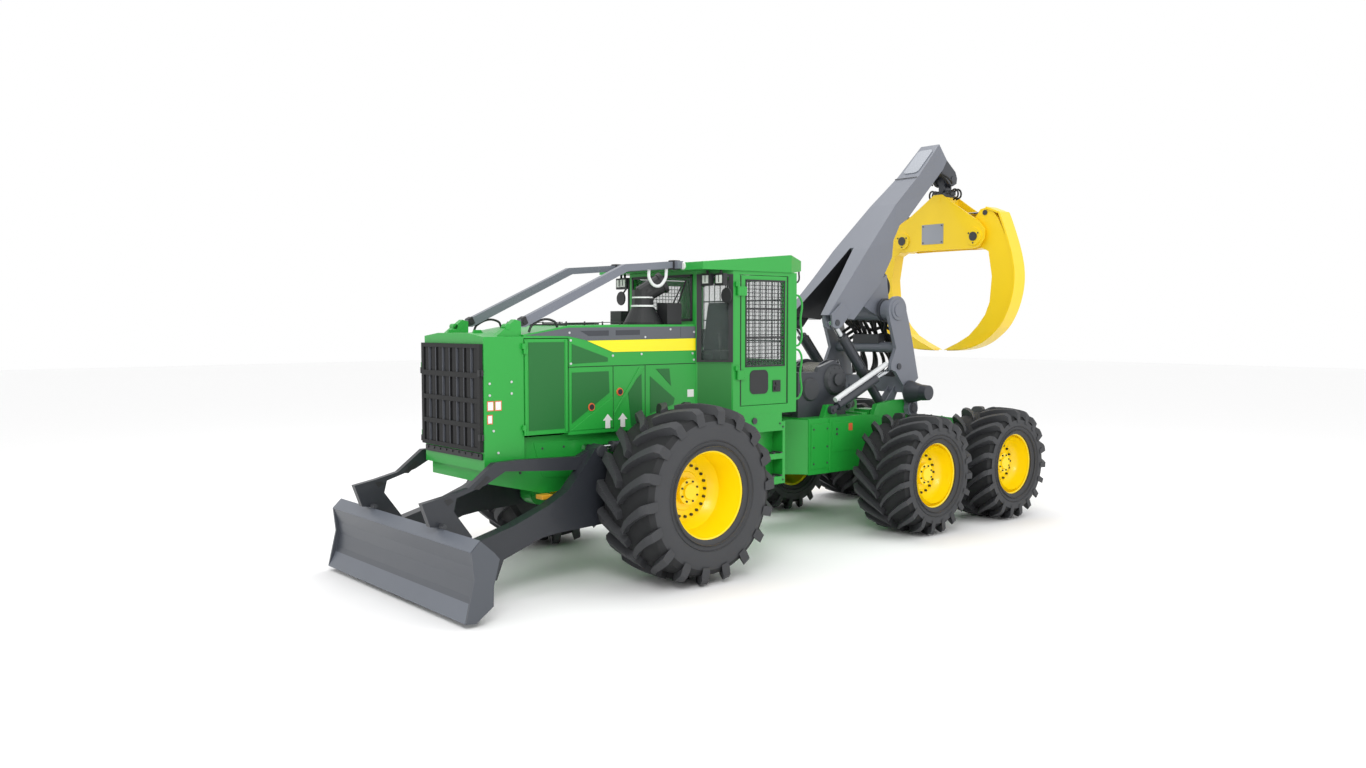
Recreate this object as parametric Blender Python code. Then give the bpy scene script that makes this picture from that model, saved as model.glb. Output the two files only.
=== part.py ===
"""Six-wheel articulated grapple skidder at full size, in metres, +Z up, front towards -Y.

All measures are taken from the front axle; the root empty moves the machine so
that the origin lies on the ground under the middle of its outer box.
"""

from math import cos, pi, sin

import bmesh
import bpy
from mathutils import Matrix, Vector

# Overall layout
Y_SHIFT = -1.769
GAP = 0.0003
RUN = 0.0005
FINE, WHEEL, COARSE = 32, 24, 16

# Wheels: radius, outer and inner face of the tyre, rim radius, rim plane, hub face
FRONT_WHEEL = dict(r=0.89, out=1.677, inn=0.900, rim=0.432, plane=1.632, hub=1.215)
BOGIE_WHEEL = dict(r=0.73, out=1.573, inn=0.793, rim=0.387, plane=1.518, hub=1.270)
BOGIE_Y = (3.748, 5.419)
BOGIE_MID = (BOGIE_Y[0] + BOGIE_Y[1]) / 2

# Front body
FRAME_HALF = 0.50
BODY_HALF = 0.585
SHEET = 0.030
HOOD_FRONT, HOOD_REAR, HOOD_TOP = -1.4547, 0.7197, 2.55
RADIATOR_REAR = HOOD_FRONT - GAP
CAB_HALF, CAB_FRONT, CAB_REAR = 0.90, 0.72, 1.96
CAB_FLOOR, CAB_TOP, CAB_WALL = 1.56, 3.13, 0.05
DOOR_Y, DOOR_Z = (1.08, 1.825), (1.66, 3.09)
DOOR_HINGE = (0.918, 1.04)
COOLER_HINGE = (0.603, -1.452)
GRILLE_HINGE = (-0.605, -1.905)

# Hitch
HITCH_Y, HITCH_PIN = 2.20, 0.05
REAR_HALF, REAR_TOP = 0.52, 1.41

# Blade linkage, in the side plane
BLADE_HALF = 1.454
BLADE_PIVOT = (-0.62, 0.72)
BLADE_ANCHOR = (0.55, 1.33)
BLADE_PIN = (-0.73, 1.31)
BLADE_CYL_X = 0.60

# Arch and boom linkage, in the side plane
ARCH_PIVOT = (4.49, 1.45)
ARCH_ANCHOR = (3.02, 1.50)
ARCH_PIN = (4.20, 2.007)
ARCH_CYL_X = 0.50
LEG_X = (0.535, 0.585)
BOOM_PIVOT = (4.167, 2.733)
BOOM_ANCHOR = (4.20, 1.45)
BOOM_PIN = (3.206, 2.57)
BOOM_CYL_X = 0.34

# Grapple
TIP = (5.94, 4.60)
SIDE_PIN_Z = 4.46
TONG_PIVOT = (0.61, 3.76)
TONG_PIN = (0.74, 4.08)
HEAD_GAP, HEAD_PLATE = 0.15, 0.02

GREEN = (0.027, 0.413, 0.065, 1)
DARK = (0.026, 0.031, 0.037, 1)
GREY = (0.216, 0.240, 0.279, 1)
RUBBER = (0.050, 0.052, 0.056, 1)
YELLOW = (1.0, 0.753, 0.0, 1)
GOLD = (0.913, 0.611, 0.007, 1)
STEEL = (0.60, 0.61, 0.62, 1)
GLASS = (0.25, 0.32, 0.30, 1)
BLACK = (0.02, 0.02, 0.02, 1)

for old in list(bpy.data.objects):
    bpy.data.objects.remove(old)

root = bpy.data.objects.new("skidder_root", None)
root.location = (0, Y_SHIFT, 0)
bpy.context.scene.collection.objects.link(root)
materials = {}


def new_object(mesh_data):
    """Links a bmesh into the scene as a nameless solid with its faces outward."""
    bmesh.ops.recalc_face_normals(mesh_data, faces=mesh_data.faces)
    mesh = bpy.data.meshes.new("solid")
    mesh_data.to_mesh(mesh)
    mesh_data.free()
    obj = bpy.data.objects.new("solid", mesh)
    bpy.context.scene.collection.objects.link(obj)
    return obj


def box(x, y, z):
    """A block from (low, high) pairs."""
    data = bmesh.new()
    bmesh.ops.create_cube(data, size=1)
    for vert in data.verts:
        vert.co = Vector(
            (x[vert.co.x > 0], y[vert.co.y > 0], z[vert.co.z > 0])
        )
    return new_object(data)


def prism(axis, outline, low, high, widths=None):
    """An outline drawn across one axis and pulled along it. widths gives each point's half-width."""
    place = {
        "x": lambda a, b, c: (c, a, b),
        "y": lambda a, b, c: (a, c, b),
        "z": lambda a, b, c: (a, b, c),
    }[axis]
    data = bmesh.new()
    ends = []
    for side, level in ((-1, low), (1, high)):
        ring = []
        for i, (a, b) in enumerate(outline):
            along = side * widths[i] if widths else level
            ring.append(data.verts.new(place(a, b, along)))
        ends.append(ring)
    face = data.faces.new(ends[0])
    face.normal_update()
    cut_up = bmesh.ops.triangulate(data, faces=[face])
    twin = dict(zip(ends[0], ends[1]))
    for face in cut_up["faces"]:
        data.faces.new([twin[vert] for vert in face.verts])
    count = len(outline)
    for i in range(count):
        j = (i + 1) % count
        data.faces.new((ends[0][i], ends[0][j], ends[1][j], ends[1][i]))
    return new_object(data)


def bar(start, end, radius, end_radius=None, sides=COARSE):
    """A round bar or cone between two points."""
    start, end = Vector(start), Vector(end)
    data = bmesh.new()
    bmesh.ops.create_cone(
        data,
        cap_ends=True,
        segments=sides,
        radius1=radius,
        radius2=radius if end_radius is None else end_radius,
        depth=(end - start).length,
    )
    turn = Vector((0, 0, 1)).rotation_difference(end - start).to_matrix().to_4x4()
    bmesh.ops.transform(
        data, matrix=Matrix.Translation((start + end) / 2) @ turn, verts=data.verts
    )
    return new_object(data)


def cross_bar(x, centre, radius, sides=COARSE):
    """A round bar along X through a point of the side plane."""
    return bar((x[0], *centre), (x[1], *centre), radius, sides=sides)


def turned(profile, centre, sides=WHEEL):
    """A closed profile of (x, radius) points turned about X through a point of the side plane."""
    data = bmesh.new()
    rings = []
    for i in range(sides):
        angle = 2 * pi * i / sides
        rings.append(
            [
                data.verts.new(
                    (x, centre[0] + r * cos(angle), centre[1] + r * sin(angle))
                )
                for x, r in profile
            ]
        )
    for i in range(sides):
        here, there = rings[i], rings[(i + 1) % sides]
        for j in range(len(profile)):
            k = (j + 1) % len(profile)
            data.faces.new((here[j], here[k], there[k], there[j]))
    return new_object(data)


def combine(kind, body, others):
    """Applies exact Booleans to body and removes the tools."""
    for other in others:
        step = body.modifiers.new(kind, "BOOLEAN")
        step.operation = kind
        step.solver = "EXACT"
        step.object = other
    bpy.context.view_layer.update()
    graph = bpy.context.evaluated_depsgraph_get()
    mesh = bpy.data.meshes.new_from_object(body.evaluated_get(graph))
    body.modifiers.clear()
    body.data = mesh
    for other in others:
        bpy.data.objects.remove(other)
    return body


def join(body, *others):
    return combine("UNION", body, others)


def cut(body, *others):
    return combine("DIFFERENCE", body, others)


def both(maker):
    """Makes a shape on each side of the machine: maker is called with +1 and -1."""
    return [maker(1), maker(-1)]


def sided(side, low, high):
    """An X range on one side of the middle plane."""
    return (low, high) if side > 0 else (-high, -low)


def inset(outline, amount):
    """A convex outline, drawn anticlockwise, moved inward."""
    moved = []
    count = len(outline)
    for i in range(count):
        before = Vector(outline[i - 1])
        here = Vector(outline[i])
        after = Vector(outline[(i + 1) % count])
        first = (here - before).normalized()
        second = (after - here).normalized()
        normal_1 = Vector((-first.y, first.x))
        normal_2 = Vector((-second.y, second.x))
        push = (normal_1 + normal_2) / (1 + normal_1.dot(normal_2))
        moved.append(tuple(here + push * amount))
    return moved


def piece(name, obj, colour, pivot=(0, 0, 0)):
    """Names a finished solid and puts its origin on the axis it moves about."""
    obj.name = name
    obj.data.name = name
    obj.data.transform(Matrix.Translation(-Vector(pivot)))
    obj.location = pivot
    obj.parent = root
    key = name if colour not in materials else colour
    if colour not in materials:
        finish = bpy.data.materials.new(str(key))
        finish.use_nodes = True
        shader = finish.node_tree.nodes["Principled BSDF"]
        shader.inputs["Base Color"].default_value = colour
        shader.inputs["Roughness"].default_value = 0.5
        materials[colour] = finish
    obj.data.materials.clear()
    obj.data.materials.append(materials[colour])
    return obj


def side_name(name, side):
    return name + ("_left" if side > 0 else "_right")


def ram(names, anchor, pin, eye, tube, rod_r, lengths, colours=(GREEN, STEEL)):
    """A barrel with an open bore and the rod that slides in it.

    eye is (axis, half-width, radius), tube is (neck radius, tube radius) and lengths are,
    from the anchor, where the bore, the tube, its open end and the rod's inner end lie.
    """
    anchor, pin = Vector(anchor), Vector(pin)
    way = (pin - anchor).normalized()
    across = Vector(eye[0]) * eye[1]
    bore_at, tube_at, gland_at, rod_at = (anchor + way * step for step in lengths)
    barrel = join(
        bar(anchor - across, anchor + across, eye[2]),
        bar(anchor, tube_at + way * 0.01, tube[0]),
        bar(tube_at, gland_at, tube[1]),
    )
    barrel = cut(barrel, bar(bore_at, gland_at + way * 0.05, rod_r + RUN))
    rod = join(bar(rod_at, pin, rod_r), bar(pin - across, pin + across, eye[2]))
    piece(names[0], barrel, colours[0], anchor)
    piece(names[1], rod, colours[1], pin)


# ---------------------------------------------------------------- wheels and axles
def wheel(where, side, size, centre):
    """A deep-dished rim with its centre disc on the hub face, and the tyre on it."""
    rim_r, lip = size["rim"], 0.035
    inner_lip = size["inn"] + 0.045
    rim = turned(
        [
            (side * x, r)
            for x, r in (
                (size["hub"], 0.10),
                (size["hub"] + 0.035, 0.10),
                (size["hub"] + 0.035, rim_r - 0.035),
                (size["plane"], rim_r - 0.025),
                (size["plane"], rim_r + lip),
                (size["plane"] - 0.02, rim_r + lip),
                (size["plane"] - 0.02, rim_r),
                (inner_lip + 0.02, rim_r),
                (inner_lip + 0.02, rim_r + lip),
                (inner_lip, rim_r + lip),
                (inner_lip, rim_r - 0.025),
                (size["hub"], rim_r - 0.035),
            )
        ],
        centre,
    )
    rim = join(rim, cross_bar(sided(side, size["hub"], size["hub"] + 0.10), centre, 0.13))
    seat = rim_r + RUN
    tyre = turned(
        [
            (side * x, r)
            for x, r in (
                (inner_lip + 0.02 + GAP, seat),
                (size["plane"] - 0.02 - GAP, seat),
                (size["plane"] - 0.02 - GAP, rim_r + lip + 0.02),
                (size["out"], (rim_r + size["r"]) / 2 + 0.05),
                (size["out"] - 0.02, size["r"] - 0.11),
                (size["out"] - 0.075, size["r"] - 0.015),
                ((size["out"] + size["inn"]) / 2, size["r"]),
                (size["inn"] + 0.075, size["r"] - 0.015),
                (size["inn"] + 0.02, size["r"] - 0.11),
                (size["inn"], (rim_r + size["r"]) / 2 + 0.05),
                (inner_lip + 0.02 + GAP, rim_r + lip + 0.02),
            )
        ],
        centre,
    )
    piece(side_name(where + "_rim", side), rim, YELLOW, (0, *centre))
    piece(side_name(where + "_tyre", side), tyre, RUBBER, (0, *centre))


front_hub = (0.0, FRONT_WHEEL["r"])
for side in (1, -1):
    wheel("front", side, FRONT_WHEEL, front_hub)
    wheel("bogie_front", side, BOGIE_WHEEL, (BOGIE_Y[0], BOGIE_WHEEL["r"]))
    wheel("bogie_rear", side, BOGIE_WHEEL, (BOGIE_Y[1], BOGIE_WHEEL["r"]))

hub_face = FRONT_WHEEL["hub"] - GAP
axle = join(
    cross_bar((-hub_face, hub_face), front_hub, 0.13, FINE),
    cross_bar((-0.20, 0.20), front_hub, 0.20),
    box((-0.20, 0.20), (-0.12, 0.12), (0.90, 1.12 - GAP)),
    *both(lambda s: cross_bar(sided(s, 0.98, hub_face), front_hub, 0.24, FINE)),
)
piece("front_axle", axle, GREEN)

bogie_face = BOGIE_WHEEL["hub"] - GAP
bogie_z = BOGIE_WHEEL["r"]
beam_outline = [
    (BOGIE_Y[0] - 0.14, bogie_z - 0.13),
    (BOGIE_Y[1] + 0.14, bogie_z - 0.13),
    (BOGIE_Y[1] + 0.21, bogie_z),
    (BOGIE_Y[1] + 0.14, bogie_z + 0.13),
    (BOGIE_MID, bogie_z + 0.20),
    (BOGIE_Y[0] - 0.14, bogie_z + 0.13),
    (BOGIE_Y[0] - 0.21, bogie_z),
]
bogie = join(
    cross_bar((-0.60, 0.60), (BOGIE_MID, bogie_z), 0.12),
    box(
        (-0.50, 0.50),
        (BOGIE_MID - 0.174 + GAP, BOGIE_MID + 0.174 - GAP),
        (bogie_z - 0.13, 0.87 - GAP),
    ),
    *both(lambda s: prism("x", beam_outline, *sided(s, 0.56, 0.76))),
    *both(lambda s: cross_bar(sided(s, 0.70, bogie_face), (BOGIE_Y[0], bogie_z), 0.20)),
    *both(lambda s: cross_bar(sided(s, 0.70, bogie_face), (BOGIE_Y[1], bogie_z), 0.20)),
)
piece("bogie_axle", bogie, GREEN)

# ---------------------------------------------------------------- front frame
frame = prism(
    "x",
    [
        (-1.86, 1.06),
        (-1.20, 0.90),
        (-0.40, 0.90),
        (-0.36, 1.12),
        (0.36, 1.12),
        (0.50, 0.80),
        (0.75, 0.62),
        (1.95, 0.62),
        (1.95, CAB_FLOOR - GAP),
        (0.72, CAB_FLOOR - GAP),
        (0.72, 1.46),
        (HOOD_FRONT, 1.46),
        (HOOD_FRONT, 1.18 - GAP),
        (-1.86, 1.18 - GAP),
    ],
    -FRAME_HALF,
    FRAME_HALF,
)
hitch_plan = [
    (-0.40, 1.94),
    (0.40, 1.94),
    (0.14, 2.22),
    (0.10, 2.30),
    (0.0, 2.34),
    (-0.10, 2.30),
    (-0.14, 2.22),
]
frame = join(
    frame,
    prism("z", hitch_plan, 0.78, 0.85),
    prism("z", hitch_plan, 1.29, 1.36),
    bar((0, HITCH_Y, 0.80), (0, HITCH_Y, 1.34), HITCH_PIN, sides=FINE),
    *both(lambda s: cross_bar(sided(s, 0.45, 0.65), BLADE_PIVOT, 0.12)),
    *both(lambda s: box(sided(s, 0.40, 0.60), (-0.72, -0.52), (0.70, 0.95))),
    *both(lambda s: cross_bar(sided(s, 0.45, BLADE_CYL_X - 0.03 - GAP), BLADE_ANCHOR, 0.08)),
)
piece("front_frame", frame, GREEN)

piece("engine_block", box((-0.35, 0.35), (-0.85, 0.45), (1.46 + GAP, 2.25)), DARK)

# ---------------------------------------------------------------- radiator, hood and guards
RADIATOR_FRONT = -1.888
radiator = prism(
    "y",
    [
        (-BODY_HALF, 1.18),
        (BODY_HALF, 1.18),
        (BODY_HALF, 2.437),
        (0.30, 2.469),
        (-0.30, 2.469),
        (-BODY_HALF, 2.437),
    ],
    RADIATOR_FRONT,
    RADIATOR_REAR,
)
radiator = cut(radiator, box((-0.52, 0.52), (-2.0, -1.62), (1.40, 2.32)))


def cooler_lug(side, low, high):
    """The fixed knuckle of a cooler door, with its foot on the radiator housing."""
    x, y = side * COOLER_HINGE[0], COOLER_HINGE[1]
    return join(
        bar((x, y, low), (x, y, high), 0.014),
        box(sided(side, 0.57, 0.612), (y - 0.03, y - 0.004), (low, high)),
    )


def grille_lug(low, high):
    """A fixed knuckle of the grille guard on the housing's front corner."""
    x, y = GRILLE_HINGE
    return join(
        bar((x, y, low), (x, y, high), 0.016),
        box((x, -0.581), (y + 0.003, RADIATOR_FRONT + 0.05), (low, high)),
    )


COOLER_KNUCKLES = ((1.49, 1.54), (2.27, 2.32))
GRILLE_KNUCKLES = ((1.38, 1.44), (2.06, 2.12))
KNUCKLE = 0.05
radiator = join(
    radiator,
    *both(
        lambda s: prism(
            "x",
            [(-1.78, 2.40), (RADIATOR_REAR, 2.40), (RADIATOR_REAR, 2.58), (-1.52, 2.60)],
            *sided(s, 0.47, 0.545),
        )
    ),
    *[
        cooler_lug(s, knuckle[1] + GAP, knuckle[1] + KNUCKLE)
        for s in (1, -1)
        for knuckle in COOLER_KNUCKLES
    ],
    *[grille_lug(knuckle[1] + GAP, knuckle[1] + KNUCKLE) for knuckle in GRILLE_KNUCKLES],
)
piece("radiator_housing", radiator, GREEN)

grille_y = (-1.93, -1.895)
grille = box((-0.58, 0.58), grille_y, (1.36, 2.37))
ROWS = ((1.40, 1.58), (1.625, 1.815), (1.86, 2.05), (2.10, 2.33))
grille = cut(
    grille,
    *[box((-0.53, 0.53), (-1.96, -1.86), row) for row in ROWS],
)
grille = join(
    grille,
    *[
        bar((*GRILLE_HINGE, low), (*GRILLE_HINGE, high), 0.016)
        for low, high in GRILLE_KNUCKLES
    ],
    *[
        box((GRILLE_HINGE[0], -0.56), (grille_y[0], -1.90), knuckle)
        for knuckle in GRILLE_KNUCKLES
    ],
    *[box((x - 0.012, x + 0.012), (-1.925, -1.90), (1.37, 2.36)) for x in (-0.28, 0, 0.28)],
)
piece("grille_guard", grille, GREEN, (*GRILLE_HINGE, 0))

hood = prism(
    "x",
    [
        (HOOD_FRONT, 2.42),
        (-0.945, 2.42),
        (-0.945, 1.46 + GAP),
        (HOOD_REAR, 1.46 + GAP),
        (HOOD_REAR, HOOD_TOP),
        (-0.10, HOOD_TOP),
        (-0.945, 2.54),
        (HOOD_FRONT, 2.455),
    ],
    -BODY_HALF,
    BODY_HALF,
)
hood = cut(
    hood,
    box((-0.555, 0.555), (-0.915, 0.69), (1.30, 2.50)),
    box((-0.50, 0.50), (-1.10, -0.80), (1.30, 2.38)),
)
piece("engine_hood", hood, GREEN)

for side in (1, -1):
    hinge_x = side * COOLER_HINGE[0]
    door = join(
        box(sided(side, BODY_HALF - SHEET, BODY_HALF), (-1.447, -0.953), (1.486, 2.412)),
        *[
            bar((hinge_x, COOLER_HINGE[1], low), (hinge_x, COOLER_HINGE[1], high), 0.014)
            for low, high in COOLER_KNUCKLES
        ],
        *[
            box(sided(side, 0.575, 0.612), (COOLER_HINGE[1] + 0.006, -1.42), knuckle)
            for knuckle in COOLER_KNUCKLES
        ],
    )
    piece(side_name("cooler_door", side), door, GREEN, (hinge_x, COOLER_HINGE[1], 0))


def guard_bar(side):
    """One bent limb-riser bar from the radiator bracket to the roof's front edge."""
    low, bend, top = (0.508, 2.56), (0.534, 3.136), (0.534, 3.19)
    half = 0.034
    return prism(
        "x",
        [
            (HOOD_FRONT, low[1] - half),
            (HOOD_FRONT + 0.05, low[1] - half),
            (-0.16, bend[1] - half),
            (0.50, top[1] - half),
            (0.50, top[1] + half),
            (-0.20, bend[1] + half),
            (HOOD_FRONT, low[1] + 0.04),
        ],
        *sided(side, 0.475, 0.545),
    )


guards = join(
    box((-0.60, 0.60), (0.45, 0.53 - GAP), (3.145, 3.225)),
    *both(guard_bar),
)
piece("limb_guards", guards, GREY)

stack_x, stack_y = 0.30, 0.218
stack = join(
    bar((stack_x, stack_y, HOOD_TOP + GAP), (stack_x, stack_y, 2.575), 0.21, sides=FINE),
    bar((stack_x, stack_y, 2.57), (stack_x, stack_y, 2.73), 0.205, 0.125, sides=FINE),
    bar((stack_x, stack_y, 2.72), (stack_x, stack_y, 2.92), 0.11),
    bar((stack_x - 0.01, stack_y - 0.02, 2.86), (0.40, 0.41, 3.0), 0.105),
)
piece("intake_stack", stack, BLACK)

# ---------------------------------------------------------------- cab
cab_plan = [
    (-CAB_HALF, CAB_REAR),
    (-CAB_HALF, 0.98),
    (-BODY_HALF, CAB_FRONT),
    (BODY_HALF, CAB_FRONT),
    (CAB_HALF, 0.98),
    (CAB_HALF, CAB_REAR),
]


def quarter_cut(side):
    """The opening of an angled front-quarter window."""
    plan = [(0.64, 0.70), (0.93, 0.94), (0.80, 1.10), (0.55, 0.88)]
    return prism("z", [(side * x, y) for x, y in plan], 2.16, 3.08)


def cab_knuckle(side, low, high):
    """The fixed knuckle of a cab door with its foot on the side wall."""
    x, y = side * DOOR_HINGE[0], DOOR_HINGE[1]
    return join(
        bar((x, y, low), (x, y, high), 0.018),
        box(sided(side, 0.88, 0.925), (y - 0.04, y - 0.005), (low, high)),
    )


CAB_KNUCKLES = ((1.953, 2.053), (2.861, 2.961))
shell = cut(
    prism("z", cab_plan, CAB_FLOOR, CAB_TOP),
    prism("z", inset(cab_plan, CAB_WALL), CAB_FLOOR + 0.06, CAB_TOP + 0.2),
)
shell = cut(
    shell,
    box((-0.52, 0.52), (0.65, 0.80), (2.60, 3.08)),
    box((-0.70, 0.70), (1.85, 2.05), (2.15, 3.05)),
    *both(lambda s: box(sided(s, 0.80, 1.0), DOOR_Y, DOOR_Z)),
    *both(quarter_cut),
)
shell = join(
    shell,
    *[
        cab_knuckle(s, knuckle[1] + GAP, knuckle[1] + KNUCKLE)
        for s in (1, -1)
        for knuckle in CAB_KNUCKLES
    ],
)
piece("cab_shell", shell, GREEN)

roof = prism(
    "x",
    [
        (0.53, CAB_TOP + GAP),
        (1.90, CAB_TOP + GAP),
        (2.13, 3.16),
        (2.13, 3.275),
        (1.84, 3.327),
        (0.53, 3.21),
    ],
    -0.92,
    0.92,
)
roof = cut(
    roof,
    *both(
        lambda s: prism(
            "z", [(s * 0.80, 2.14), (s * 0.93, 1.83), (s * 1.1, 1.83), (s * 1.1, 2.2)], 3.0, 3.4
        )
    ),
)
piece("cab_roof", roof, GREEN)

windscreen = cut(
    prism("z", inset(cab_plan, CAB_WALL + GAP), 2.14, 3.10),
    prism("z", inset(cab_plan, CAB_WALL + 0.012), 2.0, 3.2),
    box((-1.0, 1.0), (1.03, 2.2), (2.0, 3.2)),
)
piece("windscreen", windscreen, GLASS)
piece(
    "rear_window",
    box((-0.70 + GAP, 0.70 - GAP), (1.93, 1.942), (2.15 + GAP, 3.05 - GAP)),
    GLASS,
)

for side in (1, -1):
    hinge_x, hinge_y = side * DOOR_HINGE[0], DOOR_HINGE[1]
    leaf = cut(
        box(sided(side, 0.862, 0.898), (1.085, 1.816), (1.667, 3.083)),
        box(sided(side, 0.80, 1.0), (1.178, 1.755), (2.104, 3.020)),
    )
    leaf = join(
        leaf,
        *[bar((hinge_x, hinge_y, low), (hinge_x, hinge_y, high), 0.018) for low, high in CAB_KNUCKLES],
        *[box(sided(side, 0.906, 0.922), (hinge_y, 1.15), knuckle) for knuckle in CAB_KNUCKLES],
        *[box(sided(side, 0.88, 0.922), (1.10, 1.15), knuckle) for knuckle in CAB_KNUCKLES],
    )
    piece(side_name("cab_door", side), leaf, GREEN, (hinge_x, hinge_y, 0))
    pane = box(
        sided(side, 0.872, 0.884), (1.178 + GAP, 1.755 - GAP), (2.104 + GAP, 3.020 - GAP)
    )
    piece(side_name("door_window", side), pane, GLASS, (hinge_x, hinge_y, 0))

cab_floor = CAB_FLOOR + 0.06 + GAP
seat = join(
    box((-0.15, 0.15), (1.32, 1.58), (cab_floor, 2.02)),
    box((-0.25, 0.25), (1.20, 1.70), (2.0, 2.12)),
    prism("x", [(1.60, 2.10), (1.70, 2.10), (1.78, 2.75), (1.70, 2.75)], -0.24, 0.24),
    *both(lambda s: box(sided(s, 0.23, 0.36), (1.28, 1.68), (2.05, 2.25))),
)
piece("operator_seat", seat, BLACK)
console = prism(
    "x", [(0.80, cab_floor), (0.96, cab_floor), (1.0, 2.25), (0.93, 2.35), (0.80, 2.35)], -0.30, 0.30
)
piece("control_console", console, BLACK)

for side in (1, -1):
    tank_x = sided(side, FRAME_HALF + GAP, 0.90)
    tank = join(
        box(tank_x, (1.07, 1.73), (1.42, CAB_FLOOR - GAP)),
        prism("x", [(1.19, 0.76), (1.785, 0.76), (1.785, 1.46), (1.19, 1.46)], *tank_x),
    )
    tank = cut(
        tank,
        box(sided(side, 0.74, 1.0), (1.23, 1.745), (1.10, 1.36)),
        box(sided(side, 0.74, 1.0), (1.23, 1.745), (0.84, 1.04)),
    )
    piece(side_name("step_tank", side), tank, GREEN)

# ---------------------------------------------------------------- blade
blade = join(
    prism(
        "x",
        [
            (-2.576, 0.045),
            (-2.482, 0.034),
            (-2.43, 0.24),
            (-2.41, 0.38),
            (-2.425, 0.50),
            (-2.45, 0.60),
            (-2.40, 0.70),
            (-2.43, 0.73),
            (-2.518, 0.644),
            (-2.47, 0.50),
            (-2.455, 0.38),
            (-2.475, 0.24),
        ],
        -1.44,
        1.44,
    ),
    prism("x", [(-2.45, 0.15), (-2.31, 0.16), (-2.31, 0.333), (-2.42, 0.36)], -1.44, 1.44),
    *both(
        lambda s: prism(
            "x",
            [
                (-2.43, 0.73),
                (-2.518, 0.644),
                (-2.492, 0.407),
                (-2.576, 0.045),
                (-2.482, 0.034),
                (-2.312, 0.155),
                (-2.305, 0.335),
                (-2.248, 0.554),
                (-2.299, 0.614),
            ],
            *sided(s, 1.43, BLADE_HALF),
        )
    ),
)
piece("dozer_blade", blade, GREY, (0, *BLADE_PIVOT))


def push_arm(side):
    """One side of the push frame: arm and lever plate, with its two pin bosses."""
    arm = prism(
        "x",
        [
            (-2.31 + GAP, 0.18),
            (-1.917, 0.206),
            (-1.843, 0.387),
            (-1.417, 0.538),
            (-1.243, 0.56),
            (-0.72, 0.585),
            (-0.58, 0.585),
            (-0.485, 0.68),
            (-0.49, 0.80),
            (-0.557, 0.982),
            (-0.665, 1.34),
            (-0.73, 1.375),
            (-0.80, 1.34),
            (-0.94, 1.16),
            (-1.124, 0.955),
            (-1.345, 0.837),
            (-1.734, 0.687),
            (-2.095, 0.591),
            (-2.31 + GAP, 0.56),
        ],
        *sided(side, 0.70, 0.84),
    )
    return join(
        arm,
        cross_bar(sided(side, 0.65 + GAP, 0.72), BLADE_PIVOT, 0.11),
        cross_bar(sided(side, BLADE_CYL_X + 0.036, 0.72), BLADE_PIN, 0.05),
    )


def upper_bar(side):
    """The pusher bracket above the blade and the bar that ties it back to the lever."""
    tie = prism(
        "x",
        [
            (-2.289, 0.986),
            (-1.96, 1.086),
            (-1.764, 1.189),
            (-1.152, 1.142),
            (-0.90, 1.13),
            (-0.72, 1.20),
            (-0.70, 1.30),
            (-0.78, 1.33),
            (-0.94, 1.262),
            (-1.615, 1.284),
            (-1.877, 1.277),
            (-2.149, 1.069),
            (-2.395, 1.011),
        ],
        *sided(side, 0.68, 0.75),
    )
    foot = prism(
        "x",
        [
            (-2.611, 0.973),
            (-2.533, 0.759),
            (-2.43, 0.745),
            (-2.385, 0.70),
            (-2.385, 0.56),
            (-2.12, 0.50),
            (-2.12, 0.628),
            (-2.30, 0.874),
            (-2.27, 0.992),
            (-2.395, 1.012),
        ],
        *sided(side, 0.68, 0.75),
    )
    return join(tie, foot)


push = join(
    box((-0.72, 0.72), (-2.31 + GAP, -2.15), (0.18, 0.33)),
    *both(push_arm),
    *both(upper_bar),
)
piece("push_frame", push, DARK, (0, *BLADE_PIVOT))

for side in (1, -1):
    x = side * BLADE_CYL_X
    ram(
        (side_name("blade_cylinder", side), side_name("blade_rod", side)),
        (x, *BLADE_ANCHOR),
        (x, *BLADE_PIN),
        ((1, 0, 0), 0.03, 0.05),
        (0.03, 0.05),
        0.027,
        (0.30, 0.10, 0.98, 0.50),
        colours=(DARK, STEEL),
    )

# ---------------------------------------------------------------- rear frame and winch
rear = prism(
    "x",
    [
        (2.58, 0.73),
        (BOGIE_MID - 0.174, 0.73),
        (BOGIE_MID - 0.174, 0.87),
        (BOGIE_MID + 0.174, 0.87),
        (BOGIE_MID + 0.174, 0.73),
        (5.60, 0.80),
        (5.60, 1.25),
        (5.20, 1.30),
        (3.60, REAR_TOP),
        (2.58, REAR_TOP),
    ],
    -REAR_HALF,
    REAR_HALF,
)
rear = join(
    rear,
    prism("z", [(-0.30, 2.36), (0.30, 2.36), (REAR_HALF, 2.59), (-REAR_HALF, 2.59)], 0.74, 1.40),
    prism("z", [(-0.13, 2.2), (0.13, 2.2), (0.20, 2.45), (-0.20, 2.45)], 0.86, 1.28),
    bar((0, HITCH_Y, 0.86), (0, HITCH_Y, 1.28), 0.13, sides=FINE),
    *both(
        lambda s: prism(
            "x",
            [(3.75, 1.33), (4.60, 1.33), (4.60, 1.48), (4.49, 1.57), (4.15, 1.565), (3.85, 1.53)],
            *sided(s, 0.455, REAR_HALF),
        )
    ),
    *both(
        lambda s: prism(
            "x", [(2.88, 1.38), (3.16, 1.38), (3.08, 1.56), (2.96, 1.56)],
            *sided(s, 0.40, ARCH_CYL_X - 0.03 - GAP),
        )
    ),
)
rear = cut(rear, bar((0, HITCH_Y, 0.6), (0, HITCH_Y, 1.6), HITCH_PIN + RUN, sides=FINE))
piece("rear_frame", rear, GREEN, (0, HITCH_Y, 0))

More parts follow.
